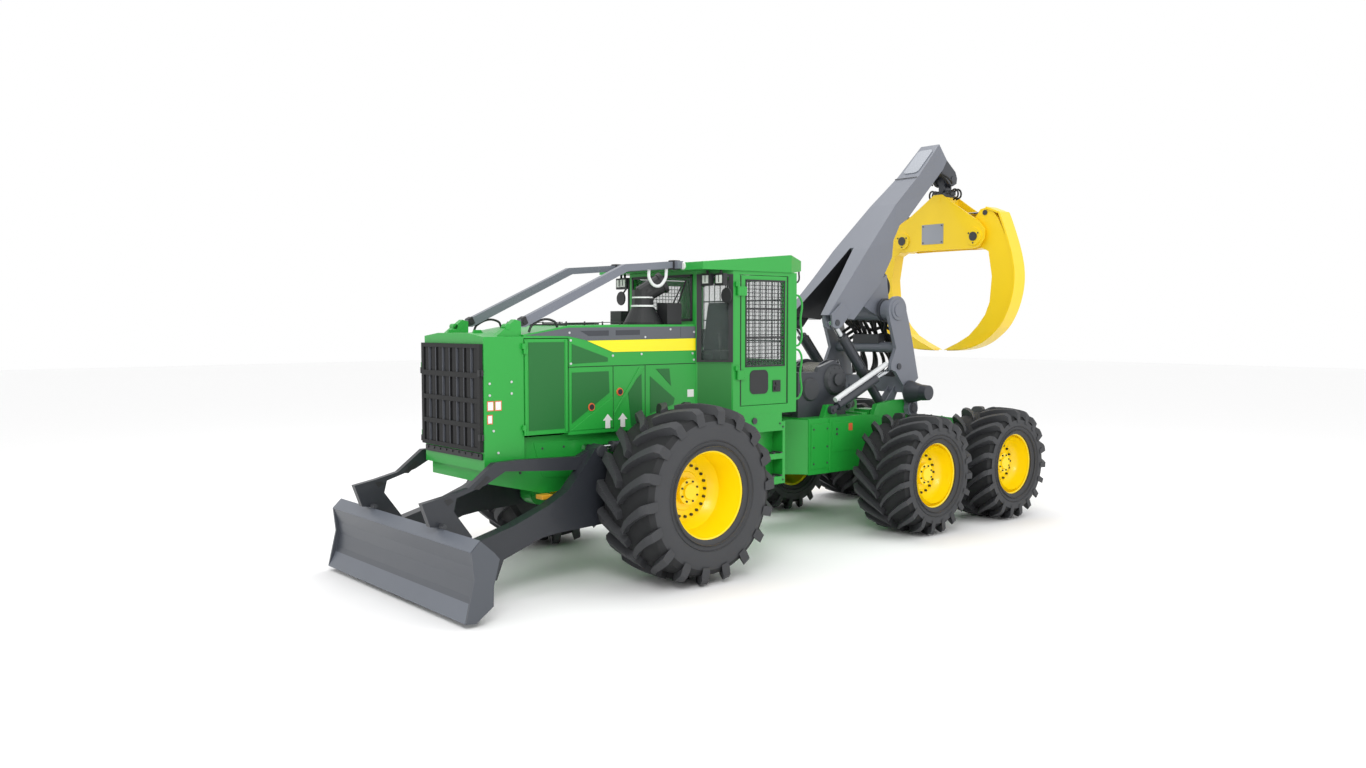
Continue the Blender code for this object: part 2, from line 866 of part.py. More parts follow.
DRUM = (3.284, 1.857)
winch = join(
    box((-0.30, 0.30), (2.62, 3.50), (REAR_TOP + GAP, 1.50)),
    box((-0.30, 0.30), (2.62, 3.00), (1.48, 1.96)),
    cross_bar((-0.26, 0.26), DRUM, 0.13, FINE),
    *both(lambda s: cross_bar(sided(s, 0.18, 0.20), DRUM, 0.25, FINE)),
    *both(
        lambda s: prism(
            "x",
            [(2.70, 1.45), (3.46, 1.45), (3.50, 1.75), (3.42, 2.02), (3.28, 2.10), (3.0, 2.02)],
            *sided(s, 0.24, 0.30),
        )
    ),
)
piece("winch", winch, DARK, (0, HITCH_Y, 0))

# ---------------------------------------------------------------- arch
leg_outline = [
    (3.99, 2.733),
    (4.02, 2.587),
    (4.145, 2.245),
    (4.048, 2.054),
    (4.05, 1.969),
    (4.142, 1.939),
    (4.298, 1.756),
    (4.40, 1.49),
    (4.39, 1.38),
    (4.49, 1.33),
    (4.59, 1.38),
    (4.60, 1.50),
    (4.549, 1.802),
    (4.609, 1.843),
    (4.496, 2.261),
    (4.395, 2.598),
    (4.345, 2.733),
]


def arch_leg(side):
    """One leg plate with its head disc, pivot boss and the stub horn on its outside."""
    return join(
        prism("x", leg_outline, *sided(side, *LEG_X)),
        cross_bar(sided(side, *LEG_X), BOOM_PIVOT, 0.18, FINE),
        cross_bar(sided(side, REAR_HALF + GAP, 0.60), ARCH_PIVOT, 0.10),
        bar((side * 0.57, 4.42, 1.67), (side * 0.90, 4.42, 1.67), 0.095, 0.07),
    )


def boom_lug(side):
    """The two plates that carry the foot of a boom cylinder."""
    outline = [(4.13, 1.43), (4.20, 1.38), (4.27, 1.41), (4.42, 1.68), (4.37, 1.75), (4.16, 1.53)]
    inner = sided(side, BOOM_CYL_X - 0.06, BOOM_CYL_X - 0.04 - GAP)
    outer = sided(side, BOOM_CYL_X + 0.04 + GAP, BOOM_CYL_X + 0.06)
    return join(prism("x", outline, *inner), box(
        sided(side, BOOM_CYL_X - 0.06, BOOM_CYL_X + 0.06), (4.365, 4.42), (1.665, 1.74)
    ), prism("x", outline, *outer))


arch = join(
    box((-0.54, 0.54), (4.36, 4.56), (1.66, 1.86)),
    cross_bar((-0.54, 0.54), (4.30, 2.25), 0.07),
    *both(arch_leg),
    *both(boom_lug),
)
piece("arch", arch, GREY, (0, *ARCH_PIVOT))

for side in (1, -1):
    x = side * ARCH_CYL_X
    ram(
        (side_name("arch_cylinder", side), side_name("arch_rod", side)),
        (x, *ARCH_ANCHOR),
        (x, *ARCH_PIN),
        ((1, 0, 0), 0.03, 0.055),
        (0.03, 0.055),
        0.03,
        (0.12, 0.10, 0.90, 0.14),
        colours=(GREY, STEEL),
    )

# ---------------------------------------------------------------- boom
boom_side = [
    (3.07, 2.667, 0.38),
    (3.553, 2.61, 0.38),
    (4.11, 3.08, 0.345),
    (4.37, 3.43, 0.32),
    (4.42, 3.65, 0.30),
    (4.60, 3.87, 0.26),
    (4.79, 3.965, 0.24),
    (5.24, 4.335, 0.185),
    (5.69, 4.715, 0.145),
    (5.79, 4.85, 0.135),
    (5.58, 5.05, 0.156),
    (5.11, 4.59, 0.185),
    (4.57, 4.15, 0.22),
    (3.92, 3.53, 0.30),
    (3.565, 3.16, 0.33),
]
boom = prism(
    "x", [point[:2] for point in boom_side], 0, 0, [point[2] for point in boom_side]
)
# The slot between the boom's feet narrows to its top: it is as wide as the way down the boom.
fork_side = [
    (2.80, 2.30, 0.340),
    (3.75, 2.25, 0.210),
    (4.28, 3.12, 0.030),
    (4.02, 3.42, 0.030),
    (3.80, 3.80, 0.030),
    (2.90, 3.16, 0.215),
]
fork = prism(
    "x", [point[:2] for point in fork_side], 0, 0, [point[2] for point in fork_side]
)
boom = cut(boom, fork)


def boom_side_parts(side):
    """The pivot lug under a boom leg, the ear plates at its foot and a tip lug."""
    lug = [(3.75, 2.80), (4.06, 2.66), (4.167, 2.61), (4.28, 2.68), (4.30, 2.79), (4.25, 3.20), (4.0, 3.05)]
    ear = [(3.12, 2.52), (3.206, 2.49), (3.29, 2.52), (3.46, 2.70), (3.30, 2.82), (3.10, 2.67)]
    tip = [
        (5.56, 4.90),
        (5.66, 4.70),
        (5.88, 4.525),
        (5.94, 4.51),
        (6.02, 4.55),
        (6.03, 4.62),
        (5.99, 4.70),
        (5.76, 4.88),
    ]
    return join(
        prism("x", lug, *sided(side, 0.26, 0.335)),
        prism("x", ear, *sided(side, 0.25, BOOM_CYL_X - 0.045)),
        prism("x", ear, *sided(side, BOOM_CYL_X + 0.045, 0.41)),
        box(sided(side, 0.26, 0.41), (3.30, 3.36), (2.68, 2.78)),
        prism("x", tip, *sided(side, 0.09, 0.13)),
    )


boom = join(
    boom,
    cross_bar((-LEG_X[0] + GAP, LEG_X[0] - GAP), BOOM_PIVOT, 0.13, FINE),
    *both(boom_side_parts),
)
piece("boom", boom, GREY, (0, *BOOM_PIVOT))

for side in (1, -1):
    x = side * BOOM_CYL_X
    ram(
        (side_name("boom_cylinder", side), side_name("boom_rod", side)),
        (x, *BOOM_ANCHOR),
        (x, *BOOM_PIN),
        ((1, 0, 0), 0.04, 0.06),
        (0.038, 0.06),
        0.035,
        (0.13, 0.12, 1.26, 0.16),
        colours=(GREY, STEEL),
    )

# ---------------------------------------------------------------- grapple
tip_y, tip_z = TIP
cheek = 0.06
crosshead = join(
    cross_bar((-0.09 + GAP, 0.09 - GAP), TIP, 0.085, FINE),
    *both(
        lambda s: box(
            (-0.045, 0.045),
            tuple(sorted((tip_y + s * cheek, tip_y + s * (cheek + 0.03)))),
            (SIDE_PIN_Z, tip_z),
        )
    ),
    *both(
        lambda s: bar(
            (0, tip_y + s * cheek, SIDE_PIN_Z), (0, tip_y + s * (cheek + 0.03), SIDE_PIN_Z), 0.045
        )
    ),
    box((-0.045, 0.045), (tip_y - 0.09, tip_y + 0.09), (4.53, 4.62)),
)
piece("crosshead", crosshead, DARK, (0, *TIP))

rotator = join(
    bar((0, tip_y - cheek + GAP, SIDE_PIN_Z), (0, tip_y + cheek - GAP, SIDE_PIN_Z), 0.05),
    box((-0.05, 0.05), (tip_y - cheek + GAP, tip_y + cheek - GAP), (4.40, SIDE_PIN_Z)),
    bar((0, tip_y, 4.34), (0, tip_y, 4.41), 0.13, sides=FINE),
)
piece("rotator", rotator, DARK, (0, tip_y, SIDE_PIN_Z))

plate_outline = [
    (0.07, 4.38),
    (0.33, 4.20),
    (0.70, 3.955),
    (0.785, 3.85),
    (0.775, 3.72),
    (0.70, 3.62),
    (0.58, 3.595),
    (0.30, 3.60),
]
plate_outline = plate_outline + [(-x, z) for x, z in reversed(plate_outline)]


def head_plate(side):
    low = tip_y + side * HEAD_GAP
    high = tip_y + side * (HEAD_GAP + HEAD_PLATE)
    return prism("y", plate_outline, min(low, high), max(low, high))


inside = (tip_y - HEAD_GAP - 0.01, tip_y + HEAD_GAP + 0.01)
head = join(
    head_plate(1),
    head_plate(-1),
    box((-0.13, 0.13), inside, (4.23, 4.34 - GAP)),
    box((-0.30, 0.30), inside, (3.62, 3.88)),
)
piece("grapple_head", head, GOLD, (0, tip_y, 0))


def tong(side):
    """A curved claw with its pivot boss and a forked lever at the top."""
    outline = [
        (0.66, 4.13),
        (0.76, 4.15),
        (0.87, 4.08),
        (0.95, 3.98),
        (1.16, 3.55),
        (1.22, 3.19),
        (1.17, 2.86),
        (1.04, 2.577),
        (0.87, 2.40),
        (0.66, 2.27),
        (0.40, 2.20),
        (0.08, 2.183),
        (0.32, 2.29),
        (0.50, 2.39),
        (0.64, 2.526),
        (0.76, 2.68),
        (0.83, 2.855),
        (0.86, 3.207),
        (0.80, 3.55),
        (0.70, 3.60),
        (0.60, 3.59),
        (0.48, 3.65),
        (0.44, 3.76),
        (0.50, 3.90),
    ]
    claw = prism("y", [(side * x, z) for x, z in outline], tip_y - 0.10, tip_y + 0.10)
    claw = join(
        claw,
        bar(
            (side * TONG_PIVOT[0], tip_y - HEAD_GAP + GAP, TONG_PIVOT[1]),
            (side * TONG_PIVOT[0], tip_y + HEAD_GAP - GAP, TONG_PIVOT[1]),
            0.11,
        ),
    )
    slot = join(
        box(sided(side, 0.40, 0.80), (tip_y - 0.04 - GAP, tip_y + 0.04 + GAP), (4.0, 4.30)),
        bar(
            (side * TONG_PIN[0], tip_y - 0.04 - GAP, TONG_PIN[1]),
            (side * TONG_PIN[0], tip_y + 0.04 + GAP, TONG_PIN[1]),
            0.08,
        ),
    )
    claw = cut(claw, slot)
    piece(side_name("tong", side), claw, GOLD, (side * TONG_PIVOT[0], tip_y, TONG_PIVOT[1]))


for side in (1, -1):
    tong(side)

ram(
    ("grapple_cylinder", "grapple_rod"),
    (-TONG_PIN[0], tip_y, TONG_PIN[1]),
    (TONG_PIN[0], tip_y, TONG_PIN[1]),
    ((0, 1, 0), 0.04, 0.055),
    (0.0395, 0.055),
    0.03,
    (0.11, 0.19, 0.74, 0.63),
    colours=(GOLD, STEEL),
)
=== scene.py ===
from math import cos, pi, radians, sin

import bmesh
import bpy
from mathutils import Matrix, Vector


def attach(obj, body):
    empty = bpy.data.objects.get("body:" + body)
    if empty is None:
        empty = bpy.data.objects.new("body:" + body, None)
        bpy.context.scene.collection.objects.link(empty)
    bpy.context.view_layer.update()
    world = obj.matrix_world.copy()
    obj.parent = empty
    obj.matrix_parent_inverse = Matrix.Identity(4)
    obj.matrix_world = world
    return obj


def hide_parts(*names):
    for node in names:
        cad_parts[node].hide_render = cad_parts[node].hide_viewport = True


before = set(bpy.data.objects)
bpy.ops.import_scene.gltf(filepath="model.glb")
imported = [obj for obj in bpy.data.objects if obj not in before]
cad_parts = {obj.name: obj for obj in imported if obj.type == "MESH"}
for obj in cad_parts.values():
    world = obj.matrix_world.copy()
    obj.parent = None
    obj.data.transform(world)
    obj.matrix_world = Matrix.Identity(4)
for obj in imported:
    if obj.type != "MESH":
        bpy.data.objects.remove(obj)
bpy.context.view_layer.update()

# ---- Wheels --------------------------------------------------------------------------
# Wide forestry tyres with tall curved bars in a chevron, on deep-dished yellow rims whose
# centre disc sits far inside and is held by a ring of bolts. Two at the front, four behind.

FRONT_AXLE = -1.769  # where the front axle lies along the machine; all pieces are placed from it
BOTH_HANDS = ((1, "left"), (-1, "right"))


def colour(red, green, blue):
    """Linear colour from the usual 0 to 255 values."""
    linear = [c / 255 / 12.92 if c < 11 else ((c / 255 + 0.055) / 1.055) ** 2.4 for c in (red, green, blue)]
    return (*linear, 1)


def new_material(name, rough):
    """A material with its nodes, its links and its main shader."""
    made = bpy.data.materials.new(name)
    made.use_nodes = True
    shader = made.node_tree.nodes["Principled BSDF"]
    shader.inputs["Roughness"].default_value = rough
    return made, made.node_tree.nodes, made.node_tree.links, shader


def add_node(nodes, kind, **settings):
    """A shader node with some of its inputs set."""
    made = nodes.new("ShaderNode" + kind)
    for name, value in settings.items():
        made.inputs[name].default_value = value
    return made


def coating(name, tone, rough=0.4, metal=0.0, coat=0.0, grain=60.0, bump=0.03, mottle=0.06):
    """A surface with a slight mottle and a fine bump, so that no face is perfectly flat in tone."""
    paint, nodes, links, shader = new_material(name, rough)
    shader.inputs["Metallic"].default_value = metal
    shader.inputs["Coat Weight"].default_value = coat
    place = add_node(nodes, "TexCoord")
    cloud = add_node(nodes, "TexNoise", Scale=2.5, Detail=6.0)
    links.new(place.outputs["Object"], cloud.inputs["Vector"])
    blend = add_node(nodes, "Mix")
    blend.data_type = "RGBA"
    blend.inputs["A"].default_value = tuple(c * (1 - mottle) for c in tone[:3]) + (1,)
    blend.inputs["B"].default_value = tuple(min(1, c * (1 + mottle)) for c in tone[:3]) + (1,)
    links.new(cloud.outputs["Fac"], blend.inputs["Factor"])
    links.new(blend.outputs["Result"], shader.inputs["Base Color"])
    fine = add_node(nodes, "TexNoise", Scale=grain)
    links.new(place.outputs["Object"], fine.inputs["Vector"])
    relief = add_node(nodes, "Bump", Strength=bump, Distance=0.004)
    links.new(fine.outputs["Fac"], relief.inputs["Height"])
    links.new(relief.outputs["Normal"], shader.inputs["Normal"])
    return paint


def finish(shape, name, material, body, smooth=0.6, bevel=0.0):
    """Turns a bmesh drawn from the front axle into a named piece that rides on a CAD body."""
    bmesh.ops.recalc_face_normals(shape, faces=shape.faces)
    mesh = bpy.data.meshes.new(name)
    shape.to_mesh(mesh)
    shape.free()
    mesh.shade_smooth()
    mesh.set_sharp_from_angle(angle=smooth)
    mesh.materials.append(material)
    piece = bpy.data.objects.new(name, mesh)
    piece.location.y = FRONT_AXLE
    bpy.context.scene.collection.objects.link(piece)
    if bevel:
        edge = piece.modifiers.new("soft edges", "BEVEL")
        edge.width = bevel
        edge.segments = 2
        edge.harden_normals = True
    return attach(piece, body)


def spin(shape, profile, y, z, steps=96, closed=True):
    """Turns (x, radius) points about the X line through y, z."""
    turns = [2 * pi * i / steps for i in range(steps)]
    rings = [[shape.verts.new((x, y + r * cos(a), z + r * sin(a))) for x, r in profile] for a in turns]
    count = len(profile) if closed else len(profile) - 1
    for i in range(steps):
        here, there = rings[i], rings[(i + 1) % steps]
        for j in range(count):
            k = (j + 1) % len(profile)
            shape.faces.new((here[j], here[k], there[k], there[j]))


def bar(shape, start, end, radius, end_radius=None, sides=20):
    """A round bar or cone between two points."""
    start, end = Vector(start), Vector(end)
    turn = Vector((0, 0, 1)).rotation_difference(end - start).to_matrix().to_4x4()
    made = bmesh.ops.create_cone(
        shape, cap_ends=True, segments=sides, radius1=radius,
        radius2=radius if end_radius is None else end_radius, depth=(end - start).length,
    )
    bmesh.ops.transform(shape, matrix=Matrix.Translation((start + end) / 2) @ turn, verts=made["verts"])


def pin(shape, side, low, high, y, z, radius, end_radius=None, sides=20):
    """A round pin or boss across the machine on one hand, from low to high."""
    bar(shape, (side * low, y, z), (side * high, y, z), radius, end_radius, sides)


def circle(y, z, radius, count, shift=0.0):
    """Evenly spaced points on a circle."""
    turns = [2 * pi * (k + shift) / count for k in range(count)]
    return [(y + radius * cos(a), z + radius * sin(a)) for a in turns]


def lug(shape, side, base, radius, half, width, sweep):
    """One tread bar: it curves from the middle of the tread to the shoulder and ends on the sidewall."""
    stations = []
    for t in (0.0, 0.2, 0.4, 0.6, 0.8, 0.95):
        x = 0.012 + (half - 0.030) * t
        top = radius - 0.002 - 0.022 * t ** 3
        stations.append((x, top, radius - 0.105, base - sweep * t ** 0.75, width * (0.85 + 0.3 * t)))
    stations.append((half + 0.004, radius - 0.062, radius - 0.14, base - sweep * 1.01, width * 1.2))
    stations.append((half + 0.006, radius - 0.135, radius - 0.19, base - sweep * 1.03, width * 1.05))
    rings = []
    for x, top, bottom, angle, wide in stations:
        ring = []
        for r, spread in ((bottom, 1.15), (top, 0.90), (top, -0.90), (bottom, -1.15)):
            a = angle + spread * wide / 2 / radius
            ring.append(shape.verts.new((side * x, r * cos(a), r * sin(a))))
        rings.append(ring)
    for here, there in zip(rings, rings[1:]):
        for j in range(4):
            k = (j + 1) % 4
            shape.faces.new((here[j], here[k], there[k], there[j]))
    shape.faces.new(rings[0])
    shape.faces.new(rings[-1])


RUBBER = coating("tyre rubber", colour(55, 56, 59), rough=0.62, grain=140, bump=0.12, mottle=0.12)
# Painted shade: a darker copy of the tyre rubber for the tread floor between the bars, standing in for the
# shade in those hollows.
TREAD_FLOOR_SHADE = coating("tread floor", colour(30, 31, 33), rough=0.75, grain=140, bump=0.12, mottle=0.12)
WHEEL_YELLOW = coating("wheel yellow", colour(255, 222, 0), rough=0.35, coat=0.2, bump=0.0, mottle=0.02)
BOLT_STEEL = coating("bolt steel", colour(205, 207, 208), rough=0.35, metal=0.4)
NUT_BLACK = coating("wheel nut black", colour(40, 40, 38), rough=0.5)

WHEELS = (
    # CAD name, tyre's middle, axle along, axle height, half width, rim radius, outer plane, disc, bars, bolts
    ("front", 1.289, 0.0, 0.89, 0.3885, 0.432, 1.632, 1.235, 18, 20),
    ("bogie_front", 1.183, 3.748, 0.73, 0.390, 0.387, 1.518, 1.29, 19, 16),
    ("bogie_rear", 1.183, 5.419, 0.73, 0.390, 0.387, 1.518, 1.29, 19, 16),
)
for place, middle, y, r, half, rim, plane, disc, bars, bolts in WHEELS:
    for side, hand in BOTH_HANDS:
        body = f"{place}_wheel_{hand}"
        carcass = bmesh.new()
        outline = [
            (-half + 0.045, rim + 0.004), (-half + 0.020, rim + 0.050), (-half + 0.004, rim + 0.13),
            (-half + 0.001, (rim + r) / 2 + 0.02), (-half + 0.012, r - 0.165), (-half + 0.045, r - 0.112),
            (-half * 0.55, r - 0.082), (0, r - 0.074),
        ]
        outline += [(-x, radius) for x, radius in reversed(outline[:-1])]
        spin(carcass, outline, 0, 0)
        bar_width, sweep = (0.088, 0.30) if place == "front" else (0.064, 0.42)
        for k in range(bars):
            step = 2 * pi / bars
            lug(carcass, 1, k * step, r, half, bar_width, sweep)
            lug(carcass, -1, (k + 0.5) * step, r, half, bar_width, sweep)
        for ring_r in (rim + 0.055, rim + 0.105):
            for s in (1, -1):
                foot, crest = s * (half - 0.012), s * (half + 0.002)
                spin(carcass, [(foot, ring_r - 0.008), (crest, ring_r), (foot, ring_r + 0.008)], 0, 0)
        bmesh.ops.transform(carcass, matrix=Matrix.Translation((side * middle, y, r)), verts=carcass.verts)
        tyre = finish(carcass, f"{place}_tyre_{hand}_tread", RUBBER, body, smooth=0.7)
        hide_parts(f"{place}_tyre_{hand}")
        # The tread floor's faces take the darker painted shade.
        tyre.data.materials.append(TREAD_FLOOR_SHADE)
        for face in tyre.data.polygons:
            out = ((face.center.y - y) ** 2 + (face.center.z - r) ** 2) ** 0.5
            if r - 0.15 < out < r - 0.07 and abs(face.center.x - side * middle) < half - 0.02:
                face.material_index = 1

        dish = bmesh.new()
        inner = plane - 2 * (plane - middle)
        spin(dish, [(side * x, radius) for x, radius in (
            (disc, 0.09), (disc + 0.018, 0.09), (disc + 0.018, 0.19), (disc + 0.006, 0.20),
            (disc + 0.006, rim * 0.70), (disc + 0.05, rim * 0.80), (disc + 0.10, rim - 0.055),
            (disc + 0.22, rim - 0.050), (plane - 0.07, rim - 0.018), (plane - 0.02, rim - 0.010),
            (plane - 0.004, rim + 0.020), (plane, rim + 0.034), (plane - 0.014, rim + 0.036), (
                plane - 0.03, rim,
            ),
            (inner + 0.03, rim), (inner + 0.012, rim + 0.034), (inner, rim + 0.034), (
                inner + 0.02, rim - 0.02,
            ),
            (disc, rim - 0.06), (disc - 0.01, rim * 0.7),
        )], y, r)
        pin(dish, side, disc - 0.01, disc + 0.085, y, r, 0.135, 0.128, sides=40)
        pin(dish, side, disc + 0.08, disc + 0.105, y, r, 0.085, 0.075, sides=32)
        rim_piece = finish(dish, f"{place}_rim_{hand}_dish", WHEEL_YELLOW, body, smooth=0.5)
        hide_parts(f"{place}_rim_{hand}")

        nuts = bmesh.new()
        for at in circle(y, r, rim * 0.60, bolts):
            pin(nuts, side, disc, disc + 0.030, *at, 0.015, sides=6)
        for at in circle(y, r, 0.105, 8, shift=0.5):
            pin(nuts, side, disc + 0.07, disc + 0.097, *at, 0.011, sides=6)
        finish(nuts, f"{place}_wheel_nuts_{hand}", NUT_BLACK, body)

# ---- Painted steel ---------------------------------------------------------------------
# The welded plate bodies as they come from the paint shop: green machine, grey boom and arch,
# near-black push frame and rams, deep yellow grapple, bright rods. Cut edges are slightly rounded.

GREEN = coating("machine green", colour(33, 157, 56), rough=0.4, coat=0.15, mottle=0.03)
GREY = coating("boom grey", colour(111, 115, 125), rough=0.42, coat=0.1, mottle=0.04)
BLADE_GREY = coating("blade grey", colour(72, 76, 83), rough=0.42, coat=0.1, mottle=0.04)
CHARCOAL = coating("linkage charcoal", colour(54, 57, 64), rough=0.42, coat=0.1)
PUSH_BLACK = coating("push frame charcoal", colour(40, 43, 49), rough=0.42, coat=0.1)
GUARD_BLACK = coating("guard black", colour(8, 9, 11), rough=0.65)
GOLD = coating("grapple yellow", colour(248, 210, 20), rough=0.38, coat=0.2, mottle=0.03)
BLACK = coating("black trim", colour(34, 35, 37), rough=0.5)
CHROME = coating("rod chrome", colour(205, 208, 212), rough=0.14, metal=1.0, bump=0.0)
CAST = coating("dark casting", colour(58, 60, 64), rough=0.5, bump=0.12)


def clear_pane(name, tone, opacity):
    """Tinted safety glass."""
    pane, nodes, links, shader = new_material(name, 0.04)
    shader.inputs["Base Color"].default_value = tone
    shader.inputs["Alpha"].default_value = opacity
    streak = add_node(nodes, "TexNoise", Scale=3.0)
    amount = add_node(nodes, "MapRange")
    amount.inputs["To Min"].default_value = 0.02
    amount.inputs["To Max"].default_value = 0.07
    links.new(streak.outputs["Fac"], amount.inputs["Value"])
    links.new(amount.outputs["Result"], shader.inputs["Roughness"])
    return pane


GLASS = clear_pane("tinted glass", colour(120, 134, 130), 0.16)

BOOM_PAINT = coating("boom paint", colour(111, 115, 125), rough=0.42, coat=0.1, mottle=0.04)
# Near-black painted shade for the boom's surfaces that face the machine's middle.
BOOM_PAINTED_SHADE = colour(28, 29, 32)
boom_nodes, boom_links = BOOM_PAINT.node_tree.nodes, BOOM_PAINT.node_tree.links
boom_place = add_node(boom_nodes, "TexCoord")
boom_at = add_node(boom_nodes, "SeparateXYZ")
boom_facing = add_node(boom_nodes, "SeparateXYZ")
boom_links.new(boom_place.outputs["Object"], boom_at.inputs["Vector"])
boom_links.new(boom_place.outputs["Normal"], boom_facing.inputs["Vector"])
# Painted shade: where the surface faces the machine's middle, as inside the fork between the boom's feet, the
# grey is swapped for near-black to stand in for the shade there.
boom_inward = add_node(boom_nodes, "Math")
boom_inward.operation = "MULTIPLY"
boom_links.new(boom_at.outputs["X"], boom_inward.inputs[0])
boom_links.new(boom_facing.outputs["X"], boom_inward.inputs[1])
boom_shade_mask = add_node(boom_nodes, "Math")
boom_shade_mask.operation = "LESS_THAN"
boom_shade_mask.inputs[1].default_value = -0.01
boom_links.new(boom_inward.outputs["Value"], boom_shade_mask.inputs[0])
boom_tone_with_shade = add_node(boom_nodes, "Mix")
boom_tone_with_shade.data_type = "RGBA"
boom_tone_with_shade.inputs["B"].default_value = BOOM_PAINTED_SHADE
boom_shader = boom_nodes["Principled BSDF"]
boom_links.new(boom_shader.inputs["Base Color"].links[0].from_socket, boom_tone_with_shade.inputs["A"])
boom_links.new(boom_shade_mask.outputs["Value"], boom_tone_with_shade.inputs["Factor"])
boom_links.new(boom_tone_with_shade.outputs["Result"], boom_shader.inputs["Base Color"])

FINISHES = (
    (GREEN, "front_frame front_axle radiator_housing engine_hood cooler_door_left cooler_door_right "
     "cab_shell cab_roof cab_door_left cab_door_right step_tank_left step_tank_right rear_frame bogie_axle"),
    (GREY, "limb_guards arch"),
    (BOOM_PAINT, "boom"),
    (PUSH_BLACK, "push_frame"),
    (GUARD_BLACK, "grille_guard"),
    (BLADE_GREY, "dozer_blade"),
    (CHARCOAL, "winch crosshead rotator arch_cylinder_left arch_cylinder_right blade_cylinder_left "
     "blade_cylinder_right boom_cylinder_left boom_cylinder_right"),
    (GOLD, "grapple_head tong_left tong_right"),
    (BLACK, "intake_stack operator_seat control_console grapple_cylinder"),
    (CAST, "engine_block"),
    (GLASS, "windscreen rear_window door_window_left door_window_right"),
    (CHROME, "blade_rod_left blade_rod_right arch_rod_left arch_rod_right boom_rod_left boom_rod_right "
     "grapple_rod"),
)
for material, names in FINISHES:
    for name in names.split():
        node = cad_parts[name]
        node.data.materials.clear()
        node.data.materials.append(material)
        node.data.shade_smooth()
        node.data.set_sharp_from_angle(angle=0.5)
SOFT_EDGED = (
    "front_frame radiator_housing cab_shell cab_roof engine_hood rear_frame boom arch tong_left tong_right "
    "grapple_head push_frame dozer_blade limb_guards step_tank_left step_tank_right winch"
)
for name in SOFT_EDGED.split():
    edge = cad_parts[name].modifiers.new("soft edges", "BEVEL")
    edge.width = 0.007
    edge.segments = 2
    edge.limit_method = "ANGLE"
    edge.angle_limit = 0.6
    edge.use_clamp_overlap = True

# ---- Radiator core, grille bars and front lip --------------------------------------------
# Behind the hinged guard stands the finned core of the coolers, nearly black, in a green surround.
# The guard has thin flat bars; a rubber strip hangs under it and lifting eyes stand on the roof.


def box(shape, x, y, z):
    """A block from (low, high) pairs."""
    made = bmesh.ops.create_cube(shape, size=1)
    for vert in made["verts"]:
        vert.co = Vector((x[vert.co.x > 0], y[vert.co.y > 0], z[vert.co.z > 0]))


def plate(shape, axis, outline, low, high):
    """An outline drawn across one axis and pulled along it."""
    put = {"x": lambda a, b, c: (c, a, b), "y": lambda a, b, c: (a, c, b), "z": lambda a, b, c: (a, b, c)}[
        axis
    ]
    ends = [[shape.verts.new(put(a, b, level)) for a, b in outline] for level in (low, high)]
    for ring in ends:
        shape.faces.new(ring)
    for i in range(len(outline)):
        j = (i + 1) % len(outline)
        shape.faces.new((ends[0][i], ends[0][j], ends[1][j], ends[1][i]))


def sided(side, low, high):
    return (low, high) if side > 0 else (-high, -low)


def side_plate(shape, side, outline, low, high):
    """A plate that stands along one hand of the machine, its outline given as (y, z)."""
    plate(shape, "x", outline, *sided(side, low, high))


FINS, fin_nodes, fin_links, fin_shader = new_material("cooler fins", 0.55)
fin_place = add_node(fin_nodes, "TexCoord")
fin_wave = add_node(fin_nodes, "TexWave", Scale=42.0)
fin_wave.bands_direction = "X"
fin_ramp = add_node(fin_nodes, "ValToRGB")
fin_ramp.color_ramp.elements[0].color = colour(10, 12, 16)
fin_ramp.color_ramp.elements[1].color = colour(48, 55, 68)
fin_links.new(fin_place.outputs["Object"], fin_wave.inputs["Vector"])
fin_links.new(fin_wave.outputs["Fac"], fin_ramp.inputs["Fac"])
fin_links.new(fin_ramp.outputs["Color"], fin_shader.inputs["Base Color"])

CORE_WIDE, CORE_TALL = (-0.519, 0.519), (1.402, 2.318)
core = bmesh.new()
box(core, CORE_WIDE, (-1.66, -1.625), CORE_TALL)
finish(core, "cooler_core", FINS, "front")
core_bars = bmesh.new()
for x in (-0.26, 0.0, 0.26):
    box(core_bars, (x - 0.012, x + 0.012), (-1.70, -1.66), CORE_TALL)
for z in (1.63, 1.86, 2.09):
    box(core_bars, CORE_WIDE, (-1.69, -1.665), (z - 0.008, z + 0.008))
finish(core_bars, "cooler_bars", BLACK, "front")

SLATE = coating("slate edge", colour(82, 85, 92), rough=0.45)
bar_places = [-0.556 + 0.139 * k for k in range(9)]
guard = bmesh.new()
for x in bar_places:
    box(guard, (x - 0.003, x + 0.003), (-1.929, -1.903), (1.37, 2.36))
for z in (1.603, 1.84, 2.075):
    for low in bar_places[:-1]:
        box(guard, (low + 0.035, low + 0.105), (-1.926, -1.92), (z - 0.005, z + 0.005))
finish(guard, "guard_bars", SLATE, "grille")
slats = bmesh.new()
for low in bar_places[:-1]:
    plate(
        slats, "z",
        [(low + 0.004, -1.908), (low + 0.070, -1.921), (low + 0.135, -1.908), (low + 0.070, -1.904)],
        1.375, 2.355,
    )
finish(slats, "guard_slats", GUARD_BLACK, "grille")

strip = bmesh.new()
box(strip, (-0.56, 0.56), (-1.905, -1.889), (1.285, 1.345))
for x in [-0.50 + 0.125 * k for k in range(9)]:
    bar(strip, (x, -1.913, 1.325), (x, -1.905, 1.325), 0.012, sides=8)
finish(strip, "front_rubber_strip", BLACK, "front", bevel=0.003)

latches = bmesh.new()
for z in (1.50, 2.10):
    box(latches, (0.566, 0.598), (-1.944, -1.90), (z - 0.03, z + 0.03))
    bar(latches, (0.606, -1.915, z - 0.028), (0.606, -1.915, z + 0.028), 0.012)
finish(latches, "guard_latches", BLACK, "grille", bevel=0.003)

